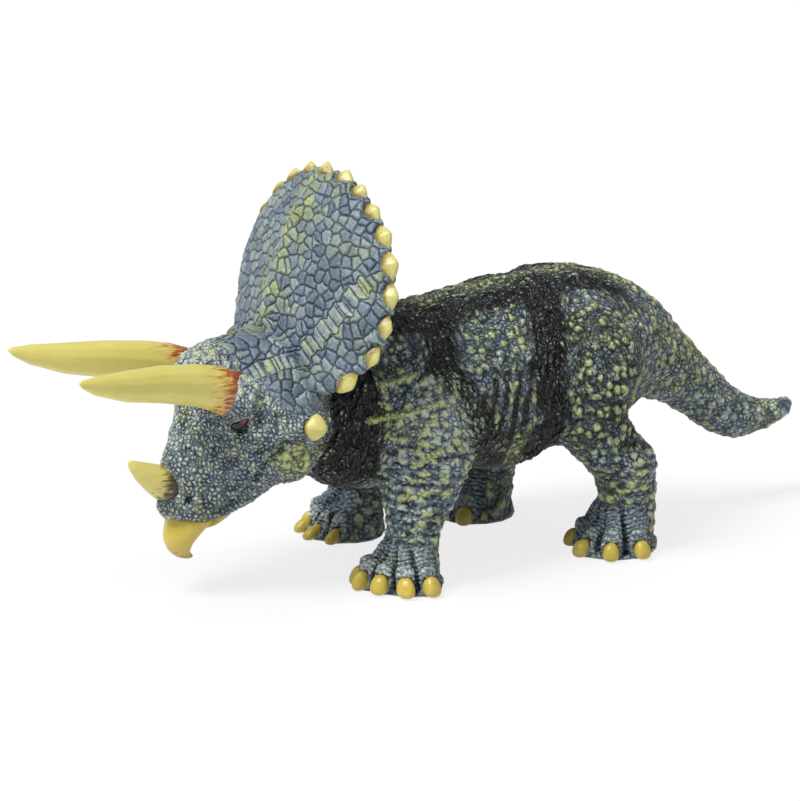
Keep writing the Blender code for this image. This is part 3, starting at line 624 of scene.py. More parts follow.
def zones_of(place, owner, held, toe):
    """What lies where on the skin, 0 to 1: kinds of scale, dark paint with painted shade, and dry brush."""
    forward, left, up = place.T
    aside = np.column_stack([forward, np.abs(left), up])
    head = among(owner, "head").astype(float)
    tail = among(owner, "tail").astype(float)
    fore = among(owner, "foreleg_left", "foreleg_right").astype(float)
    hind = among(owner, "hindleg_left", "hindleg_right").astype(float)
    trunk = 1 - head - tail - fore - hind
    zone = {}
    behind = rise(-forward + 0.6 * (up - 50), -66, -60)
    zone["frill"] = head * behind * rise(up + 0.2 * aside[:, 1], 51, 57)
    face = head * (1 - zone["frill"])
    crown = face * rise(up, 49, 55) * rise(-forward, -84, -76)
    near, _, along = toe
    zone["toe"] = rise(-near, -5.0, -3.5) * rise(-up, -13.5, -11.5) * (fore + hind)
    zone["rows"] = rise(up, 11, 15) * (fore * rise(-up, -48, -36) + 0.9 * hind * rise(-up, -28, -22))
    zone["rings"] = np.where(zone["toe"] > 0.4, along / 1.05, (up - 0.1 * (forward - 30)) / 2.5)
    shin = fore * rise(-up, -40, -30) + hind * rise(-up, -26, -18)
    dark = 1.2 * ridge(aside, SHOULDER_FOLD, 7.5) + 1.5 * ridge(aside, THIGH_FOLD, 7.2)
    hanging = 0.5 + 0.5 * np.sin(2 * math.pi * (forward + 0.12 * up + 0.8 * np.sin(up / 3.7)) / 3.3)
    dark += 1.3 * trunk * mound(aside, (1, 26, 42), (15, 12, 18)) * hanging
    dark += 1.6 * ridge(aside, NECK_FOLD, 12)
    dark += trunk * rise(forward, 33, 39)
    # Painted shade: the underside of the trunk behind the forelegs is darkened
    dark += trunk * rise(-up, -38, -28) * rise(-forward, -14, -2)
    dark += trunk * rise(-aside[:, 1], -15, -8) * rise(up, 54, 62) * rise(forward, -50, -38)
    # Painted shade: the inner sides of the legs, towards the body, are darkened
    dark += (fore + hind) * rise(16 - aside[:, 1], 0, 4) * 0.15
    belly = mound(aside, (-3, 21, 30), (11, 11, 11))
    back = rise(-aside[:, 1], -7, -2.5) * trunk * rise(up, 58, 62)
    zone["dark"] = np.clip(dark - 1.2 * belly - 0.45 * back, 0, 1) * (1 - zone["frill"])
    zone["stripe"] = np.clip(sum(ridge(aside, path, 1.4) for path in STRIPES), 0, 1)
    jaw = head * mound(aside, JAW_KNOBS, (10, 10, 7))
    lime = 0.25 + 1.0 * jaw + 0.35 * hind * rise(up, 26, 34) + 0.1 * hind * shin
    lime += 0.1 * trunk + 0.6 * back - 0.4 * zone["toe"]
    lime += 1.0 * belly + 0.3 * tail * rise(up - 0.35 * (forward + 60), 30, 45)
    on_ridge = zone["frill"] * np.exp(-(((left - KEEL_LEFT) / 5.5) ** 2))
    zone["face"] = face * (1 - jaw)
    zone["lime"] = np.clip(lime - 0.1 * face - 0.15 * zone["frill"] + 0.45 * on_ridge, 0, 1)
    brush = 0.3 + 0.36 * face + 0.25 * crown + 0.12 * zone["frill"]
    brush += fore * (0.06 + 0.58 * rise(up, 30, 42))
    brush -= hind * 0.3 * rise(up, 26, 36)
    brush += 0.22 * tail + 0.05 * jaw + 0.25 * on_ridge + 0.3 * back + 0.12 * hind * shin
    brush += 0.24 * zone["toe"] - 0.2 * hind * zone["toe"] + 0.2 * belly
    brush += 0.35 * mound(aside, EYE, (5, 5, 5))
    zone["brush"] = np.clip(brush, 0, 1)
    knobs = 0.85 + 0.15 * hind - 0.55 * head - 0.15 * tail - 0.3 * zone["dark"] + 0.9 * jaw + 0.5 * crown
    zone["knobs"] = np.clip(knobs, 0, 1) * (1 - zone["toe"])
    zone["bare"] = rise(held, 0.0, 0.7) * rise(up, 0.2, 0.9) * (1 - 0.8 * mound(aside, EYE, (4, 4, 4)))
    zone["bare"] *= 1 - 0.6 * tail * rise(-forward, 86, 98)
    weave = place - 0.2 * jaw[:, None] * (place - JAW_KNOBS)
    for name, (step, foot_left) in FEET.items():
        here = owner == SKIN.index(name)
        middle = np.array((step, foot_left))
        narrow = 1 - 0.25 * shin[here, None]
        weave[here, :2] = middle + (weave[here, :2] - middle) * narrow
    fold = np.clip(zone["dark"] + trunk * mound(aside, (0, 26, 40), (14, 14, 14)), 0, 1)
    weave[:, 2] = 45 + (weave[:, 2] - 45) * (1 - 0.35 * fold)
    inner = np.abs(left - KEEL_LEFT)
    across, upright = BARS_LEAN
    down, out = inner * across - up * upright, inner * upright + up * across
    bowed = down + 0.5 * np.sin(out * 1.1) + 0.35 * np.sin(out * 2.3 + 1) + 0.003 * (out - 74) ** 2
    zone["bars"] = rise(bowed, -19.2, -18.4) * rise(-bowed, 13.0, 13.8)
    zone["bars"] *= (left > 0) * rise(-out, -87, -85)
    zone["lime"] = zone["lime"] + 0.3 * zone["bars"] * zone["frill"]
    zone["brush"] = zone["brush"] + 0.3 * zone["bars"] * zone["frill"]
    flat = np.zeros(len(up))
    spread = left * 0.95 - np.tanh(left / 3) * 0.8 * np.maximum(forward - 56, 0)
    plates = np.column_stack([spread, (up - 0.85 * (forward - 45)) * 0.85, flat])
    long_plates = np.column_stack([out * 1.35 - 1.2 * np.maximum(forward - 57, 0), flat, flat])
    return zone, {"weave": weave, "plates": plates, "long_plates": long_plates}


# Scales, the same for form and paint


def read(tree, name, vector=False):
    """What is stored at a point of the skin under a name."""
    if tree.bl_idname == "ShaderNodeTree":
        stored = add(tree, "ShaderNodeAttribute", attribute_name=name)
        return stored.outputs["Vector" if vector else "Fac"]
    kind = "FLOAT_VECTOR" if vector else "FLOAT"
    node = add(tree, "GeometryNodeInputNamedAttribute", {"Name": name}, data_type=kind)
    return next(socket for socket in node.outputs if socket.enabled)


def cells(tree, place, size, **settings):
    """Scales of a size in millimetres: how far in from their edge, and a chance for each."""
    socket = {"Vector": place, "Scale": 1 / size, "Randomness": 0.9}
    edge = add(tree, "ShaderNodeTexVoronoi", socket, feature="DISTANCE_TO_EDGE", **settings)
    return edge, add(tree, "ShaderNodeTexVoronoi", socket, feature="F1", **settings).outputs["Color"]


def swell(tree, edge, width):
    """A rounded height from 0 at the edge of a scale to 1 at a width inside it."""
    sockets = {"Value": edge, "From Max": width, "To Min": 1.0, "To Max": 0.0}
    slope = add(tree, "ShaderNodeMapRange", sockets)
    fall = add(tree, "ShaderNodeMath", {0: slope, 1: slope}, operation="MULTIPLY")
    return add(tree, "ShaderNodeMath", {0: 1.0, 1: fall}, operation="SUBTRACT")


def domes(tree, place, size):
    """Round knobs: height from 0 to 1, and a chance for each."""
    sockets = {"Vector": place, "Scale": 1 / size, "Randomness": 0.8}
    cell = add(tree, "ShaderNodeTexVoronoi", sockets, feature="F1")
    far = add(tree, "ShaderNodeMath", {0: cell.outputs["Distance"], 1: 1.65}, operation="MULTIPLY")
    far = add(tree, "ShaderNodeMath", {0: far, 1: far}, operation="MULTIPLY")
    height = add(tree, "ShaderNodeMath", {0: 1.0, 1: far}, operation="SUBTRACT", use_clamp=True)
    return height, cell.outputs["Color"]


def scales(tree):
    """Heights of the scales in millimetres, and what the paint needs of them."""
    zone = {name: read(tree, name) for name in ZONES}
    weave, plates, long_plates = (read(tree, name, True) for name in ("weave", "plates", "long_plates"))
    wobble = add(tree, "ShaderNodeTexNoise", {"Vector": weave, "Scale": 1 / 1.8, "Detail": 2.0})
    wobble = wobble.outputs["Color"]
    bent = []
    for place, reach in ((weave, 1.0), (plates, 1.3), (long_plates, 0.8)):
        sockets = {0: wobble, 1: (reach, reach, reach), 2: place}
        bent.append(add(tree, "ShaderNodeVectorMath", sockets, operation="MULTIPLY_ADD"))
    dome, chance = domes(tree, bent[0], KNOB)
    bead = swell(tree, cells(tree, bent[0], PEBBLE)[0], 0.4)
    uneven = add(tree, "ShaderNodeTexNoise", {"Vector": weave, "Scale": 1 / 4.0, "Detail": 2.0})
    sockets = {"Value": uneven, "From Min": 0.35, "From Max": 0.65, "To Min": 0.05, "To Max": 0.14}
    groove = add(tree, "ShaderNodeMapRange", sockets)
    slab_edge, slab_chance = cells(tree, bent[1], PLATE, voronoi_dimensions="2D")
    bar_edge, _ = cells(tree, bent[2], PLATE, voronoi_dimensions="2D")
    slab_edge = add(tree, "ShaderNodeMix", {0: zone["bars"], 2: slab_edge, 3: bar_edge})
    border = add(tree, "ShaderNodeMath", {0: zone["bars"], 1: 2.0, 2: -1.0}, operation="MULTIPLY_ADD")
    border = add(tree, "ShaderNodeMath", {0: border, 1: border}, operation="MULTIPLY")
    slab_edge = add(tree, "ShaderNodeMath", {0: slab_edge, 1: border}, operation="MULTIPLY")
    slab, slab_round = swell(tree, slab_edge, groove), swell(tree, slab_edge, 0.25)
    sockets = {0: zone["frill"], 4: chance, 5: slab_chance}
    chance = add(tree, "ShaderNodeMix", sockets, data_type="VECTOR").outputs[1]
    chance = add(tree, "ShaderNodeSeparateXYZ", {0: chance})
    size = add(tree, "ShaderNodeMapRange", {"Value": chance, "From Min": 0.05, "From Max": 0.5})
    size = add(tree, "ShaderNodeMath", {0: size, 1: zone["knobs"]}, operation="MULTIPLY")
    share = add(tree, "ShaderNodeMath", {0: size, 1: -0.5, 2: 1.0}, operation="MULTIPLY_ADD")
    bead = add(tree, "ShaderNodeMath", {0: bead, 1: share}, operation="MULTIPLY")
    dome = add(tree, "ShaderNodeMath", {0: dome, 1: size}, operation="MULTIPLY")
    ring = add(tree, "ShaderNodeMath", {0: wobble, 1: 1.6, 2: zone["rings"]}, operation="MULTIPLY_ADD")
    ring = add(tree, "ShaderNodeMath", {0: ring, 1: 2 * math.pi}, operation="MULTIPLY")
    ring = add(tree, "ShaderNodeMath", {0: ring}, operation="SINE")
    ring = add(tree, "ShaderNodeMath", {0: ring, 1: 0.5, 2: 0.5}, operation="MULTIPLY_ADD")
    # Height: body, face and folds, then frill, then toes, then the stripes
    tall = add(tree, "ShaderNodeMath", {0: zone["face"], 1: 0.18, 2: 0.3}, operation="MULTIPLY_ADD")
    height = add(tree, "ShaderNodeMath", {0: bead, 1: tall}, operation="MULTIPLY")
    for part, share in ((dome, 0.65), (uneven, 1.3)):
        height = add(tree, "ShaderNodeMath", {0: part, 1: share, 2: height}, operation="MULTIPLY_ADD")
    height = add(tree, "ShaderNodeMath", {0: height, 1: 0.65}, operation="SUBTRACT")
    slab_height = add(tree, "ShaderNodeMath", {0: bead, 1: 0.05}, operation="MULTIPLY")
    sockets = {0: slab_round, 1: 0.34, 2: slab_height}
    slab_height = add(tree, "ShaderNodeMath", sockets, operation="MULTIPLY_ADD")
    height = add(tree, "ShaderNodeMix", {0: zone["frill"], 2: height, 3: slab_height})
    row = add(tree, "ShaderNodeMath", {0: ring, 1: zone["rows"]}, operation="MULTIPLY")
    height = add(tree, "ShaderNodeMath", {0: row, 1: 0.24, 2: height}, operation="MULTIPLY_ADD")
    ring_height = add(tree, "ShaderNodeMath", {0: bead, 1: 0.16}, operation="MULTIPLY")
    ring_height = add(tree, "ShaderNodeMath", {0: ring, 1: 0.16, 2: ring_height}, operation="MULTIPLY_ADD")
    height = add(tree, "ShaderNodeMix", {0: zone["toe"], 2: height, 3: ring_height})
    height = add(tree, "ShaderNodeMath", {0: zone["stripe"], 1: 0.6, 2: height}, operation="MULTIPLY_ADD")
    height = add(tree, "ShaderNodeMath", {0: height, 1: zone["bare"]}, operation="MULTIPLY")
    # How much a point is on top of its scale, in the same order
    share = add(tree, "ShaderNodeMath", {0: zone["face"], 1: -0.2, 2: 0.45}, operation="MULTIPLY_ADD")
    top = add(tree, "ShaderNodeMath", {0: zone["face"], 1: 0.13}, operation="MULTIPLY")
    for part, amount in ((bead, share), (dome, 0.62), (uneven, 0.6)):
        top = add(tree, "ShaderNodeMath", {0: part, 1: amount, 2: top}, operation="MULTIPLY_ADD")
    top = add(tree, "ShaderNodeMath", {0: top, 1: 0.3}, operation="SUBTRACT")
    slab_top = -0.16
    for part, amount in ((slab_chance, 0.3), (slab, 0.38), (slab_round, -0.1)):
        sockets = {0: part, 1: amount, 2: slab_top}
        slab_top = add(tree, "ShaderNodeMath", sockets, operation="MULTIPLY_ADD")
    top = add(tree, "ShaderNodeMix", {0: zone["frill"], 2: top, 3: slab_top})
    for part, amount in ((row, 0.26), (zone["rows"], -0.1)):
        top = add(tree, "ShaderNodeMath", {0: part, 1: amount, 2: top}, operation="MULTIPLY_ADD")
    ring_top = add(tree, "ShaderNodeMath", {0: bead, 1: 0.26}, operation="MULTIPLY")
    ring_top = add(tree, "ShaderNodeMath", {0: ring, 1: 0.2, 2: ring_top}, operation="MULTIPLY_ADD")
    top = add(tree, "ShaderNodeMix", {0: zone["toe"], 2: top, 3: ring_top})
    made = {"zone": zone, "weave": weave, "height": height, "top": top}
    return {**made, "bead": bead, "dome": dome, "chance": chance}


def scale_heights(stored):
    """The scales' heights at points of the skin, by the same nodes that its paint uses."""
    count = len(stored["weave"])
    mesh = bpy.data.meshes.new("skin_points")
    mesh.vertices.add(count)
    sample = bpy.data.objects.new("skin_points", mesh)
    bpy.context.scene.collection.objects.link(sample)
    for name, values in stored.items():
        keep(mesh, name, values)
    tree = bpy.data.node_groups.new("scale heights", "GeometryNodeTree")
    tree.interface.new_socket("Geometry", in_out="INPUT", socket_type="NodeSocketGeometry")
    tree.interface.new_socket("Geometry", in_out="OUTPUT", socket_type="NodeSocketGeometry")
    height = scales(tree)["height"]
    flow = add(tree, "NodeGroupInput")
    sockets = {"Geometry": flow, "Name": "height"}
    store = add(tree, "GeometryNodeStoreNamedAttribute", sockets, data_type="FLOAT")
    tree.links.new(height.outputs[0], next(s for s in store.inputs if s.name == "Value" and s.enabled))
    add(tree, "NodeGroupOutput", {0: store})
    sample.modifiers.new("scale heights", "NODES").node_group = tree
    read_back = sample.evaluated_get(bpy.context.evaluated_depsgraph_get()).data
    values = np.empty(count, np.float32)
    read_back.attributes["height"].data.foreach_get("value", values)
    bpy.data.objects.remove(sample, do_unlink=True)
    return values


def keep(mesh, name, values):
    """Stores values at a mesh's points under a name."""
    vector = values.ndim == 2
    stored = mesh.attributes.new(name, "FLOAT_VECTOR" if vector else "FLOAT", "POINT")
    stored.data.foreach_set("vector" if vector else "value", values.astype(np.float32).ravel())


def mesh_object(name, points, faces, normals=None):
    """A smooth mesh object from points in millimetres."""
    mesh = bpy.data.meshes.new(name)
    sides = faces.shape[1]
    mesh.vertices.add(len(points))
    mesh.vertices.foreach_set("co", (points * MM).astype(np.float32).ravel())
    mesh.loops.add(faces.size)
    mesh.loops.foreach_set("vertex_index", faces.astype(np.int32).ravel())
    mesh.polygons.add(len(faces))
    mesh.polygons.foreach_set("loop_start", np.arange(0, faces.size, sides, dtype=np.int32))
    mesh.update(calc_edges=True)
    mesh.shade_smooth()
    if normals is not None:
        mesh.normals_split_custom_set_from_vertices(normals.tolist())
    made = bpy.data.objects.new(name, mesh)
    bpy.context.scene.collection.objects.link(made)
    return made


def dress(piece, node, material):
    """Gives a piece its paint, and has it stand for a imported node."""
    piece.data.materials.append(material)
    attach(piece, "root")
    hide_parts(node)


def skin_pieces(forms, material):
    """The skin, swollen, scaled and cut into a piece for each node that it covers."""
    points, faces, owner, held = skin_surface(forms)
    points = evened(points, faces, 10)
    place = moved(figure_places(points), owner)
    points = world_points(place)
    toe = toes(place, owner)
    push = swollen(place, owner, toe) * rise(held, 0.0, 0.8)
    points = points + normals_of(points, faces) * push[:, None]
    place = figure_places(points)
    zone, woven = zones_of(place, owner, held, toe)
    stored = {**woven, **zone}
    height = scale_heights(stored)
    sway = 1.3 * np.sin(place[:, 2] / 4.1) + 0.9 * np.sin(place[:, 2] / 2.3 + place[:, 0])
    pleat = np.sin(2 * math.pi * (place[:, 0] + 0.3 * place[:, 2] + sway) / 2.9)
    height = height + 0.2 * pleat * zone["dark"] * zone["bare"] - 0.3 * zone["bare"]
    points = points + normals_of(points, faces) * height[:, None]
    points[:, 2] = np.maximum(points[:, 2], 0.0)
    normals = normals_of(points, faces)
    soft = evened(points, faces, 3, 0.5)
    # Curvature, lighter on crests and darker in hollows: it guides the dry brush and wash, and paints
    # highlight on crests and shade in hollows
    stored["crest_brush_and_shading"] = np.clip(0.5 + 1.2 * ((points - soft) * normals).sum(axis=1), 0, 1)
    # The head's skin is two pieces: skull and frill
    part = np.where(zone["frill"] > 0.5, len(SKIN), owner)[faces[:, 0]]
    for number, name in enumerate((*SKIN, "frill")):
        used, index = np.unique(faces[part == number], return_inverse=True)
        piece = mesh_object(f"{name}_skin", points[used], index.reshape(-1, 4), normals[used])
        for kind, values in stored.items():
            keep(piece.data, kind, values[used])
        dress(piece, "head" if name == "frill" else name, material)


# Paints


def painted(name):
    """A new material, its node tree and its surface shader."""
    made = bpy.data.materials.new(name)
    made.use_nodes = True
    return made, made.node_tree, made.node_tree.nodes["Principled BSDF"]


PVC_IOR = 1.53

# Tones of a paint from its grooves to its brushed tops
SLATE = ((0.0, "161d24"), (0.22, "35434f"), (0.5, "617080"), (0.75, "929fa2"), (1.0, "c0c9bd"))
LIME = ((0.0, "161d1a"), (0.22, "34413d"), (0.5, "626f57"), (0.75, "939e6e"), (1.0, "bdc382"))
BLACK = ((0.0, "020304"), (0.4, "060809"), (0.68, "0e1213"), (0.84, "3a4340"), (1.0, "929c84"))


def finish(tree, surface, colour, roughness, relief, strength, depth):
    """Gives a PVC surface its colour, its gloss, and a fine relief with its depth in millimetres."""
    surface.inputs["Roughness"].default_value = roughness
    surface.inputs["IOR"].default_value = PVC_IOR
    sockets = {"Height": relief, "Strength": strength, "Distance": depth * MM}
    bump = add(tree, "ShaderNodeBump", sockets)
    tree.links.new(colour, surface.inputs["Base Color"])
    tree.links.new(bump.outputs[0], surface.inputs["Normal"])


def skin_paint():
    """Moulded PVC, painted slate, washed dark in its grooves and dry-brushed pale and lime, with painted
    shade in hollows and below and painted highlight on crests.
    """
    # Satin acrylic over soft PVC: short, broad highlights on the crests and none in the grooves.
    made, tree, surface = painted("PVC moulded, washed and dry-brushed")
    skin = scales(tree)
    zone, weave = skin["zone"], skin["weave"]
    drift = add(tree, "ShaderNodeTexNoise", {"Vector": weave, "Scale": 1 / 7.0, "Detail": 3.0})
    sockets = {"Vector": weave, "Scale": 1 / 0.9, "Detail": 3.0, "Roughness": 0.7}
    stroke = add(tree, "ShaderNodeTexNoise", sockets)
    # How high on the scales: grooves hold the wash, tops take the dry brush, and the crest term adds painted
    # highlight on crests and painted shade in hollows
    tone = skin["top"]
    for part, share in ((stroke, 0.5), (read(tree, "crest_brush_and_shading"), 0.7), (drift, 0.3), (zone["brush"], 0.4)):
        tone = add(tree, "ShaderNodeMath", {0: part, 1: share, 2: tone}, operation="MULTIPLY_ADD")
    tone = add(tree, "ShaderNodeMapRange", {"Value": tone, "From Min": 0.72, "From Max": 1.6})
    slate, lime, black = (
        add(tree, "ShaderNodeValToRGB", {0: tone}, stops=stops) for stops in (SLATE, LIME, BLACK)
    )
    amount = zone["lime"]
    for part, share in ((skin["chance"].outputs[1], 0.5), (drift, 1.2), (skin["dome"], 0.5)):
        amount = add(tree, "ShaderNodeMath", {0: part, 1: share, 2: amount}, operation="MULTIPLY_ADD")
    amount = add(tree, "ShaderNodeMapRange", {"Value": amount, "From Min": 1.02, "From Max": 1.65})
    colour = add(tree, "ShaderNodeMix", {0: amount, 6: slate, 7: lime}, data_type="RGBA").outputs[2]
    # Black where the dark zones lie: dark paint, and painted shade under the belly and on the legs' inner
    # sides
    darkening = add(tree, "ShaderNodeMath", {0: drift, 1: 1.5, 2: zone["dark"]}, operation="MULTIPLY_ADD")
    darkening = add(tree, "ShaderNodeMapRange", {"Value": darkening, "From Min": 0.72, "From Max": 1.6})
    colour = add(tree, "ShaderNodeMix", {0: darkening, 6: colour, 7: black}, data_type="RGBA").outputs[2]
    stripe = add(tree, "ShaderNodeMath", {0: zone["stripe"], 1: skin["bead"]}, operation="MULTIPLY")
    sockets = {"Value": stripe, "From Min": 0.02, "From Max": 0.18, "To Max": 0.78}
    stripe = add(tree, "ShaderNodeMapRange", sockets)
    sockets = {0: stripe, 6: colour, 7: linear("bcc47e")}
    colour = add(tree, "ShaderNodeMix", sockets, data_type="RGBA").outputs[2]
    grain = add(tree, "ShaderNodeMath", {0: stroke, 1: 0.12, 2: skin["height"]}, operation="MULTIPLY_ADD")
    finish(tree, surface, colour, roughness=0.45, relief=grain, strength=1.0, depth=1.4)
    return made


def horn_paint(name, shades, depth):
    """Glossy yellow PVC, brushed red-brown in fine strokes from the base."""
    # Bare PVC with a clear coat: one long soft highlight down its length.
    made, tree, surface = painted(name)
    place = read(tree, "place", True)
    base = read(tree, "base")
    strokes = add(tree, "ShaderNodeVectorMath", {0: place, 1: (0.16, 1.0, 1.0)}, operation="MULTIPLY")
    sockets = {"Vector": strokes, "Scale": 1 / 0.8, "Detail": 3.0, "Roughness": 0.7}
    strokes = add(tree, "ShaderNodeTexNoise", sockets)
    drift = add(tree, "ShaderNodeTexNoise", {"Vector": place, "Scale": 1 / 6.0, "Detail": 2.0})
    sockets = {0: drift, 6: linear(shades[0]), 7: linear(shades[1])}
    colour = add(tree, "ShaderNodeMix", sockets, data_type="RGBA").outputs[2]
    reach = add(tree, "ShaderNodeMath", {0: strokes, 1: 2.2 * depth, 2: base}, operation="MULTIPLY_ADD")
    reach = add(tree, "ShaderNodeMath", {0: reach, 1: 0.6 * depth}, operation="SUBTRACT")
    for low, high, shade in ((1.1, 0.6, shades[2]), (0.85, 0.45, shades[3])):
        sockets = {"Value": reach, "From Min": low * depth, "From Max": high * depth}
        amount = add(tree, "ShaderNodeMapRange", sockets)
        sockets = {0: amount, 6: colour, 7: linear(shade)}
        colour = add(tree, "ShaderNodeMix", sockets, data_type="RGBA").outputs[2]
    finish(tree, surface, colour, roughness=0.33, relief=strokes, strength=0.5, depth=0.15)
    return made


def nail_paint(name, shades):
    """Glossy yellow PVC, turning brown towards its root."""
    # Bare PVC, slightly uneven from the mould: a small bright spot, and brown towards its root.
    made, tree, surface = painted(name)
    place = read(tree, "place", True)
    edge = read(tree, "base")
    drift = add(tree, "ShaderNodeTexNoise", {"Vector": place, "Scale": 1 / 1.6, "Detail": 3.0})
    sockets = {0: drift, 6: linear(shades[0]), 7: linear(shades[1])}
    colour = add(tree, "ShaderNodeMix", sockets, data_type="RGBA").outputs[2]
    darkening = add(tree, "ShaderNodeMath", {0: drift, 1: 1.2, 2: edge}, operation="MULTIPLY_ADD")
    darkening = add(tree, "ShaderNodeMapRange", {"Value": darkening, "From Min": 1.2, "From Max": 0.45})
    sockets = {0: darkening, 6: colour, 7: linear("7d6a2a")}
    colour = add(tree, "ShaderNodeMix", sockets, data_type="RGBA").outputs[2]
    finish(tree, surface, colour, roughness=0.36, relief=drift, strength=0.5, depth=0.3)
    return made


def eye_paint():
    """Dark enamel with a red iris behind, under gloss varnish."""
    # A wet-looking drop of varnish: near black, with a sharp highlight.
    made, tree, surface = painted("enamel, dark with a red iris, varnished")
    far = read(tree, "base")
    place = read(tree, "place", True)
    mottle = add(tree, "ShaderNodeTexNoise", {"Vector": place, "Scale": 1 / 0.5, "Detail": 2.0})
    sockets = {0: mottle, 6: linear("5c1a1a"), 7: linear("a03a35")}
    red = add(tree, "ShaderNodeMix", sockets, data_type="RGBA").outputs[2]
    iris = add(tree, "ShaderNodeMapRange", {"Value": far, "From Min": 1.0, "From Max": 0.5})
    sockets = {0: iris, 6: linear("120d0d"), 7: red}
    colour = add(tree, "ShaderNodeMix", sockets, data_type="RGBA").outputs[2]
    tree.links.new(colour, surface.inputs["Base Color"])
    surface.inputs["Roughness"].default_value = 0.08
    return made


def horn_root(place):
    """How far each point of a brow horn is from its root, in millimetres."""
    root = place[place[:, 0] < place[:, 0].min() + 6].mean(axis=0)
    return (place - root) @ unit(place[place[:, 0].argmax()] - root) - 2.0


def nose_root(place):
    """How far each point of the nose horn is from its root, in millimetres."""
    root = place[place[:, 0].argmin()]
    return (place - root) @ unit(place[place[:, 2].argmax()] - root) - 4.5


def dressed_pieces(forms):
    """Horns, beak, nails, studs and eyes, each with what its paint follows: the base."""
    strokes = ("c9bd5e", "d7cd78", "cf9a45", "8f3a28")
    horn = horn_paint("PVC horn, glossy, red-brown strokes at its root", strokes, 11.0)
    strokes = ("c8bd66", "d4cc7c", "a08a45", "3f3a24")
    nose = horn_paint("PVC nose horn, glossy, brown strokes at its root", strokes, 6.0)
    strokes = ("bfa640", "cbb851", "ab9342", "8a6f30")
    beak = horn_paint("PVC beak, glossy ochre", strokes, 1.6)
    nail = nail_paint("PVC nail, glossy yellow, brown in its corners", ("b89c33", "cfbf5c"))
    stud = nail_paint("PVC stud, glossy yellow, brown in its corners", ("c0b660", "d0c982"))
    eye = eye_paint()
    for node, (points, faces) in forms.items():
        place, middle = figure_places(points), node_middle(node)
        if not node.startswith(("brow", "nose", "beak")):
            place, middle = settled(place, node), settled(middle[None], node)[0]
        if "brow_horn" in node:
            material, slot, base = horn, "horn", horn_root(place)
        elif "nose" in node:
            material, slot, base = nose, "horn", nose_root(place)
        elif "beak" in node:
            material, slot = beak, "beak"
            base = np.minimum(place[:, 2].max() - place[:, 2], 0.35 * (place[:, 2] - 12) + 1.0)
        elif "eye" in node:
            material, slot = eye, "eye"
            side = np.array((1, np.sign(middle[1]), 1))
            base = np.linalg.norm(place * side - EYE - IRIS_SHIFT, axis=1) / IRIS_RADIUS
        elif "nail" in node:
            material, slot = nail, "nail"
            out = unit((*(middle[:2] - FEET[node.rsplit("_nail_", 1)[0]]), 0))
            base = (place - middle) @ out * 0.5 + 0.25 * (5.5 - place[:, 2]) + 0.2
        elif "stud" in node:
            material, slot = stud, "nail"
            base = (place - middle) @ unit(middle - FRILL_MIDDLE) * 0.5 + 0.1
        else:
            material, slot = stud, "nail"
            base = (place - middle) @ cheek_out(np.sign(middle[1])) * 0.5 + 0.4
        piece = mesh_object(f"{node}_dressed", world_points(place), faces)
        keep(piece.data, "place", place)
        keep(piece.data, "base", base)
        dress(piece, node, material)


# Studio


def aimed(made, place, target):
    """Puts a camera or lamp at a place, looking at a target."""
    made.location = place
    made.rotation_mode = "QUATERNION"
    made.rotation_quaternion = (target - place).to_track_quat("-Z", "Y")
    bpy.context.scene.collection.objects.link(made)


# The photograph's view, in degrees and metres: it looks from the front left, from far away
VIEW_ANGLE = 30.8
VIEW_HEIGHT = 16.1
VIEW_DISTANCE = 6.0
VIEW_WIDTH = 0.20025  # what the picture spans across at the figure
VIEW_SHIFT = (-0.014625, 0.036375)  # middle of the picture from the ground mark: right, up


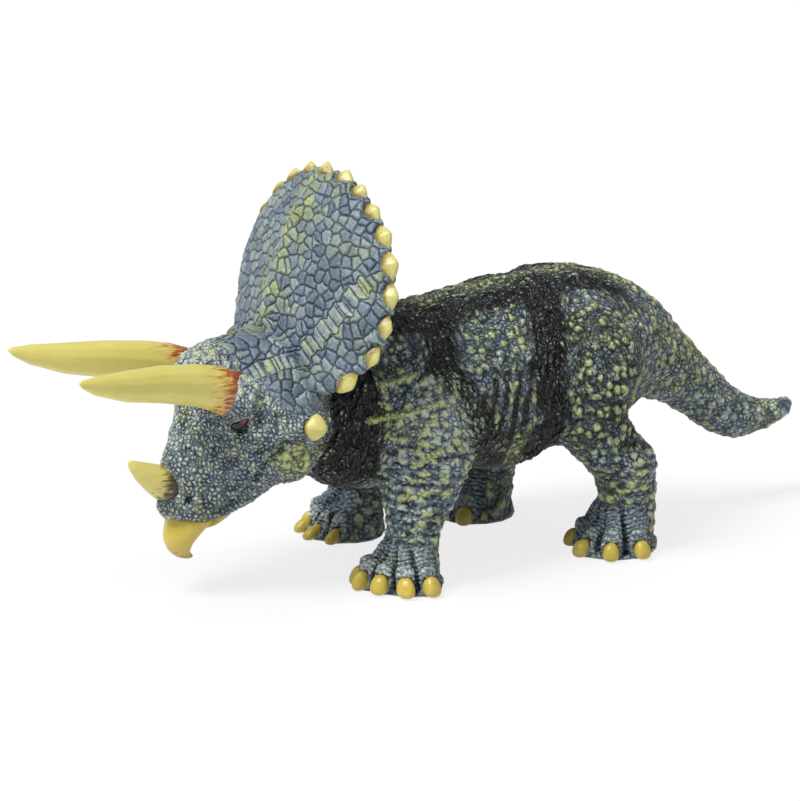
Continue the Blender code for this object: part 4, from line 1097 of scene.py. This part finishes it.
def studio():
    """A white sweep, a soft key from the upper left, and the photograph's viewing angle."""
    azimuth, height = math.radians(VIEW_ANGLE), math.radians(VIEW_HEIGHT)
    flat = math.cos(height)
    right = Vector((math.cos(azimuth), -math.sin(azimuth), 0))
    back = Vector((-math.sin(azimuth) * flat, -math.cos(azimuth) * flat, math.sin(height)))
    over = back.cross(right)
    camera = bpy.data.cameras.new("camera")
    camera.sensor_width = 36
    camera.lens = camera.sensor_width * VIEW_DISTANCE / VIEW_WIDTH
    camera.clip_end = 100
    target = Vector((GROUND_MARK * MM, 0, 0)) + right * VIEW_SHIFT[0] + over * VIEW_SHIFT[1]
    eye = bpy.data.objects.new("camera", camera)
    aimed(eye, target + back * VIEW_DISTANCE, target)
    bpy.context.scene.camera = eye

    floor_mesh = bpy.data.meshes.new("floor")
    corners = [(-40, -20, 0), (40, -20, 0), (40, 60, 0), (-40, 60, 0)]  # metres
    floor_mesh.from_pydata(corners, [], [(0, 1, 2, 3)])
    floor = bpy.data.objects.new("floor", floor_mesh)
    bpy.context.scene.collection.objects.link(floor)
    made, tree, surface = painted("white paper sweep")
    surface.inputs["Base Color"].default_value = (0.8, 0.8, 0.8, 1)
    surface.inputs["Roughness"].default_value = 0.9
    rays = add(tree, "ShaderNodeLightPath").outputs
    seen = rays["Is Camera Ray"]
    for ray in ("Is Glossy Ray", "Is Transmission Ray"):
        seen = add(tree, "ShaderNodeMath", {0: seen, 1: rays[ray]}, operation="ADD")
    share = add(tree, "ShaderNodeMath", {0: seen, 1: 0.8}, operation="MULTIPLY", use_clamp=True)
    glow = add(tree, "ShaderNodeEmission", {"Color": (1, 1, 1, 1), "Strength": 1.0})
    both = add(tree, "ShaderNodeMixShader", {0: share, 1: surface, 2: glow})
    tree.links.new(both.outputs[0], tree.nodes["Material Output"].inputs["Surface"])
    floor_mesh.materials.append(made)

    world = bpy.data.worlds.new("studio")
    bpy.context.scene.world = world
    world.use_nodes = True
    world.node_tree.nodes["Background"].inputs["Color"].default_value = (1, 1, 1, 1)
    world.node_tree.nodes["Background"].inputs["Strength"].default_value = 0.4
    key = bpy.data.lights.new("key", "SUN")
    key.angle = math.radians(28)
    key.energy = 3.5
    lamp = bpy.data.objects.new("key", key)
    aimed(lamp, right * -0.5 + over * 0.85 + back * 0.55, Vector((0, 0, 0)))
    bpy.context.scene.view_settings.view_transform = "Standard"


forms = dressed_forms()
skin_pieces(forms, skin_paint())
dressed_pieces(forms)
studio()
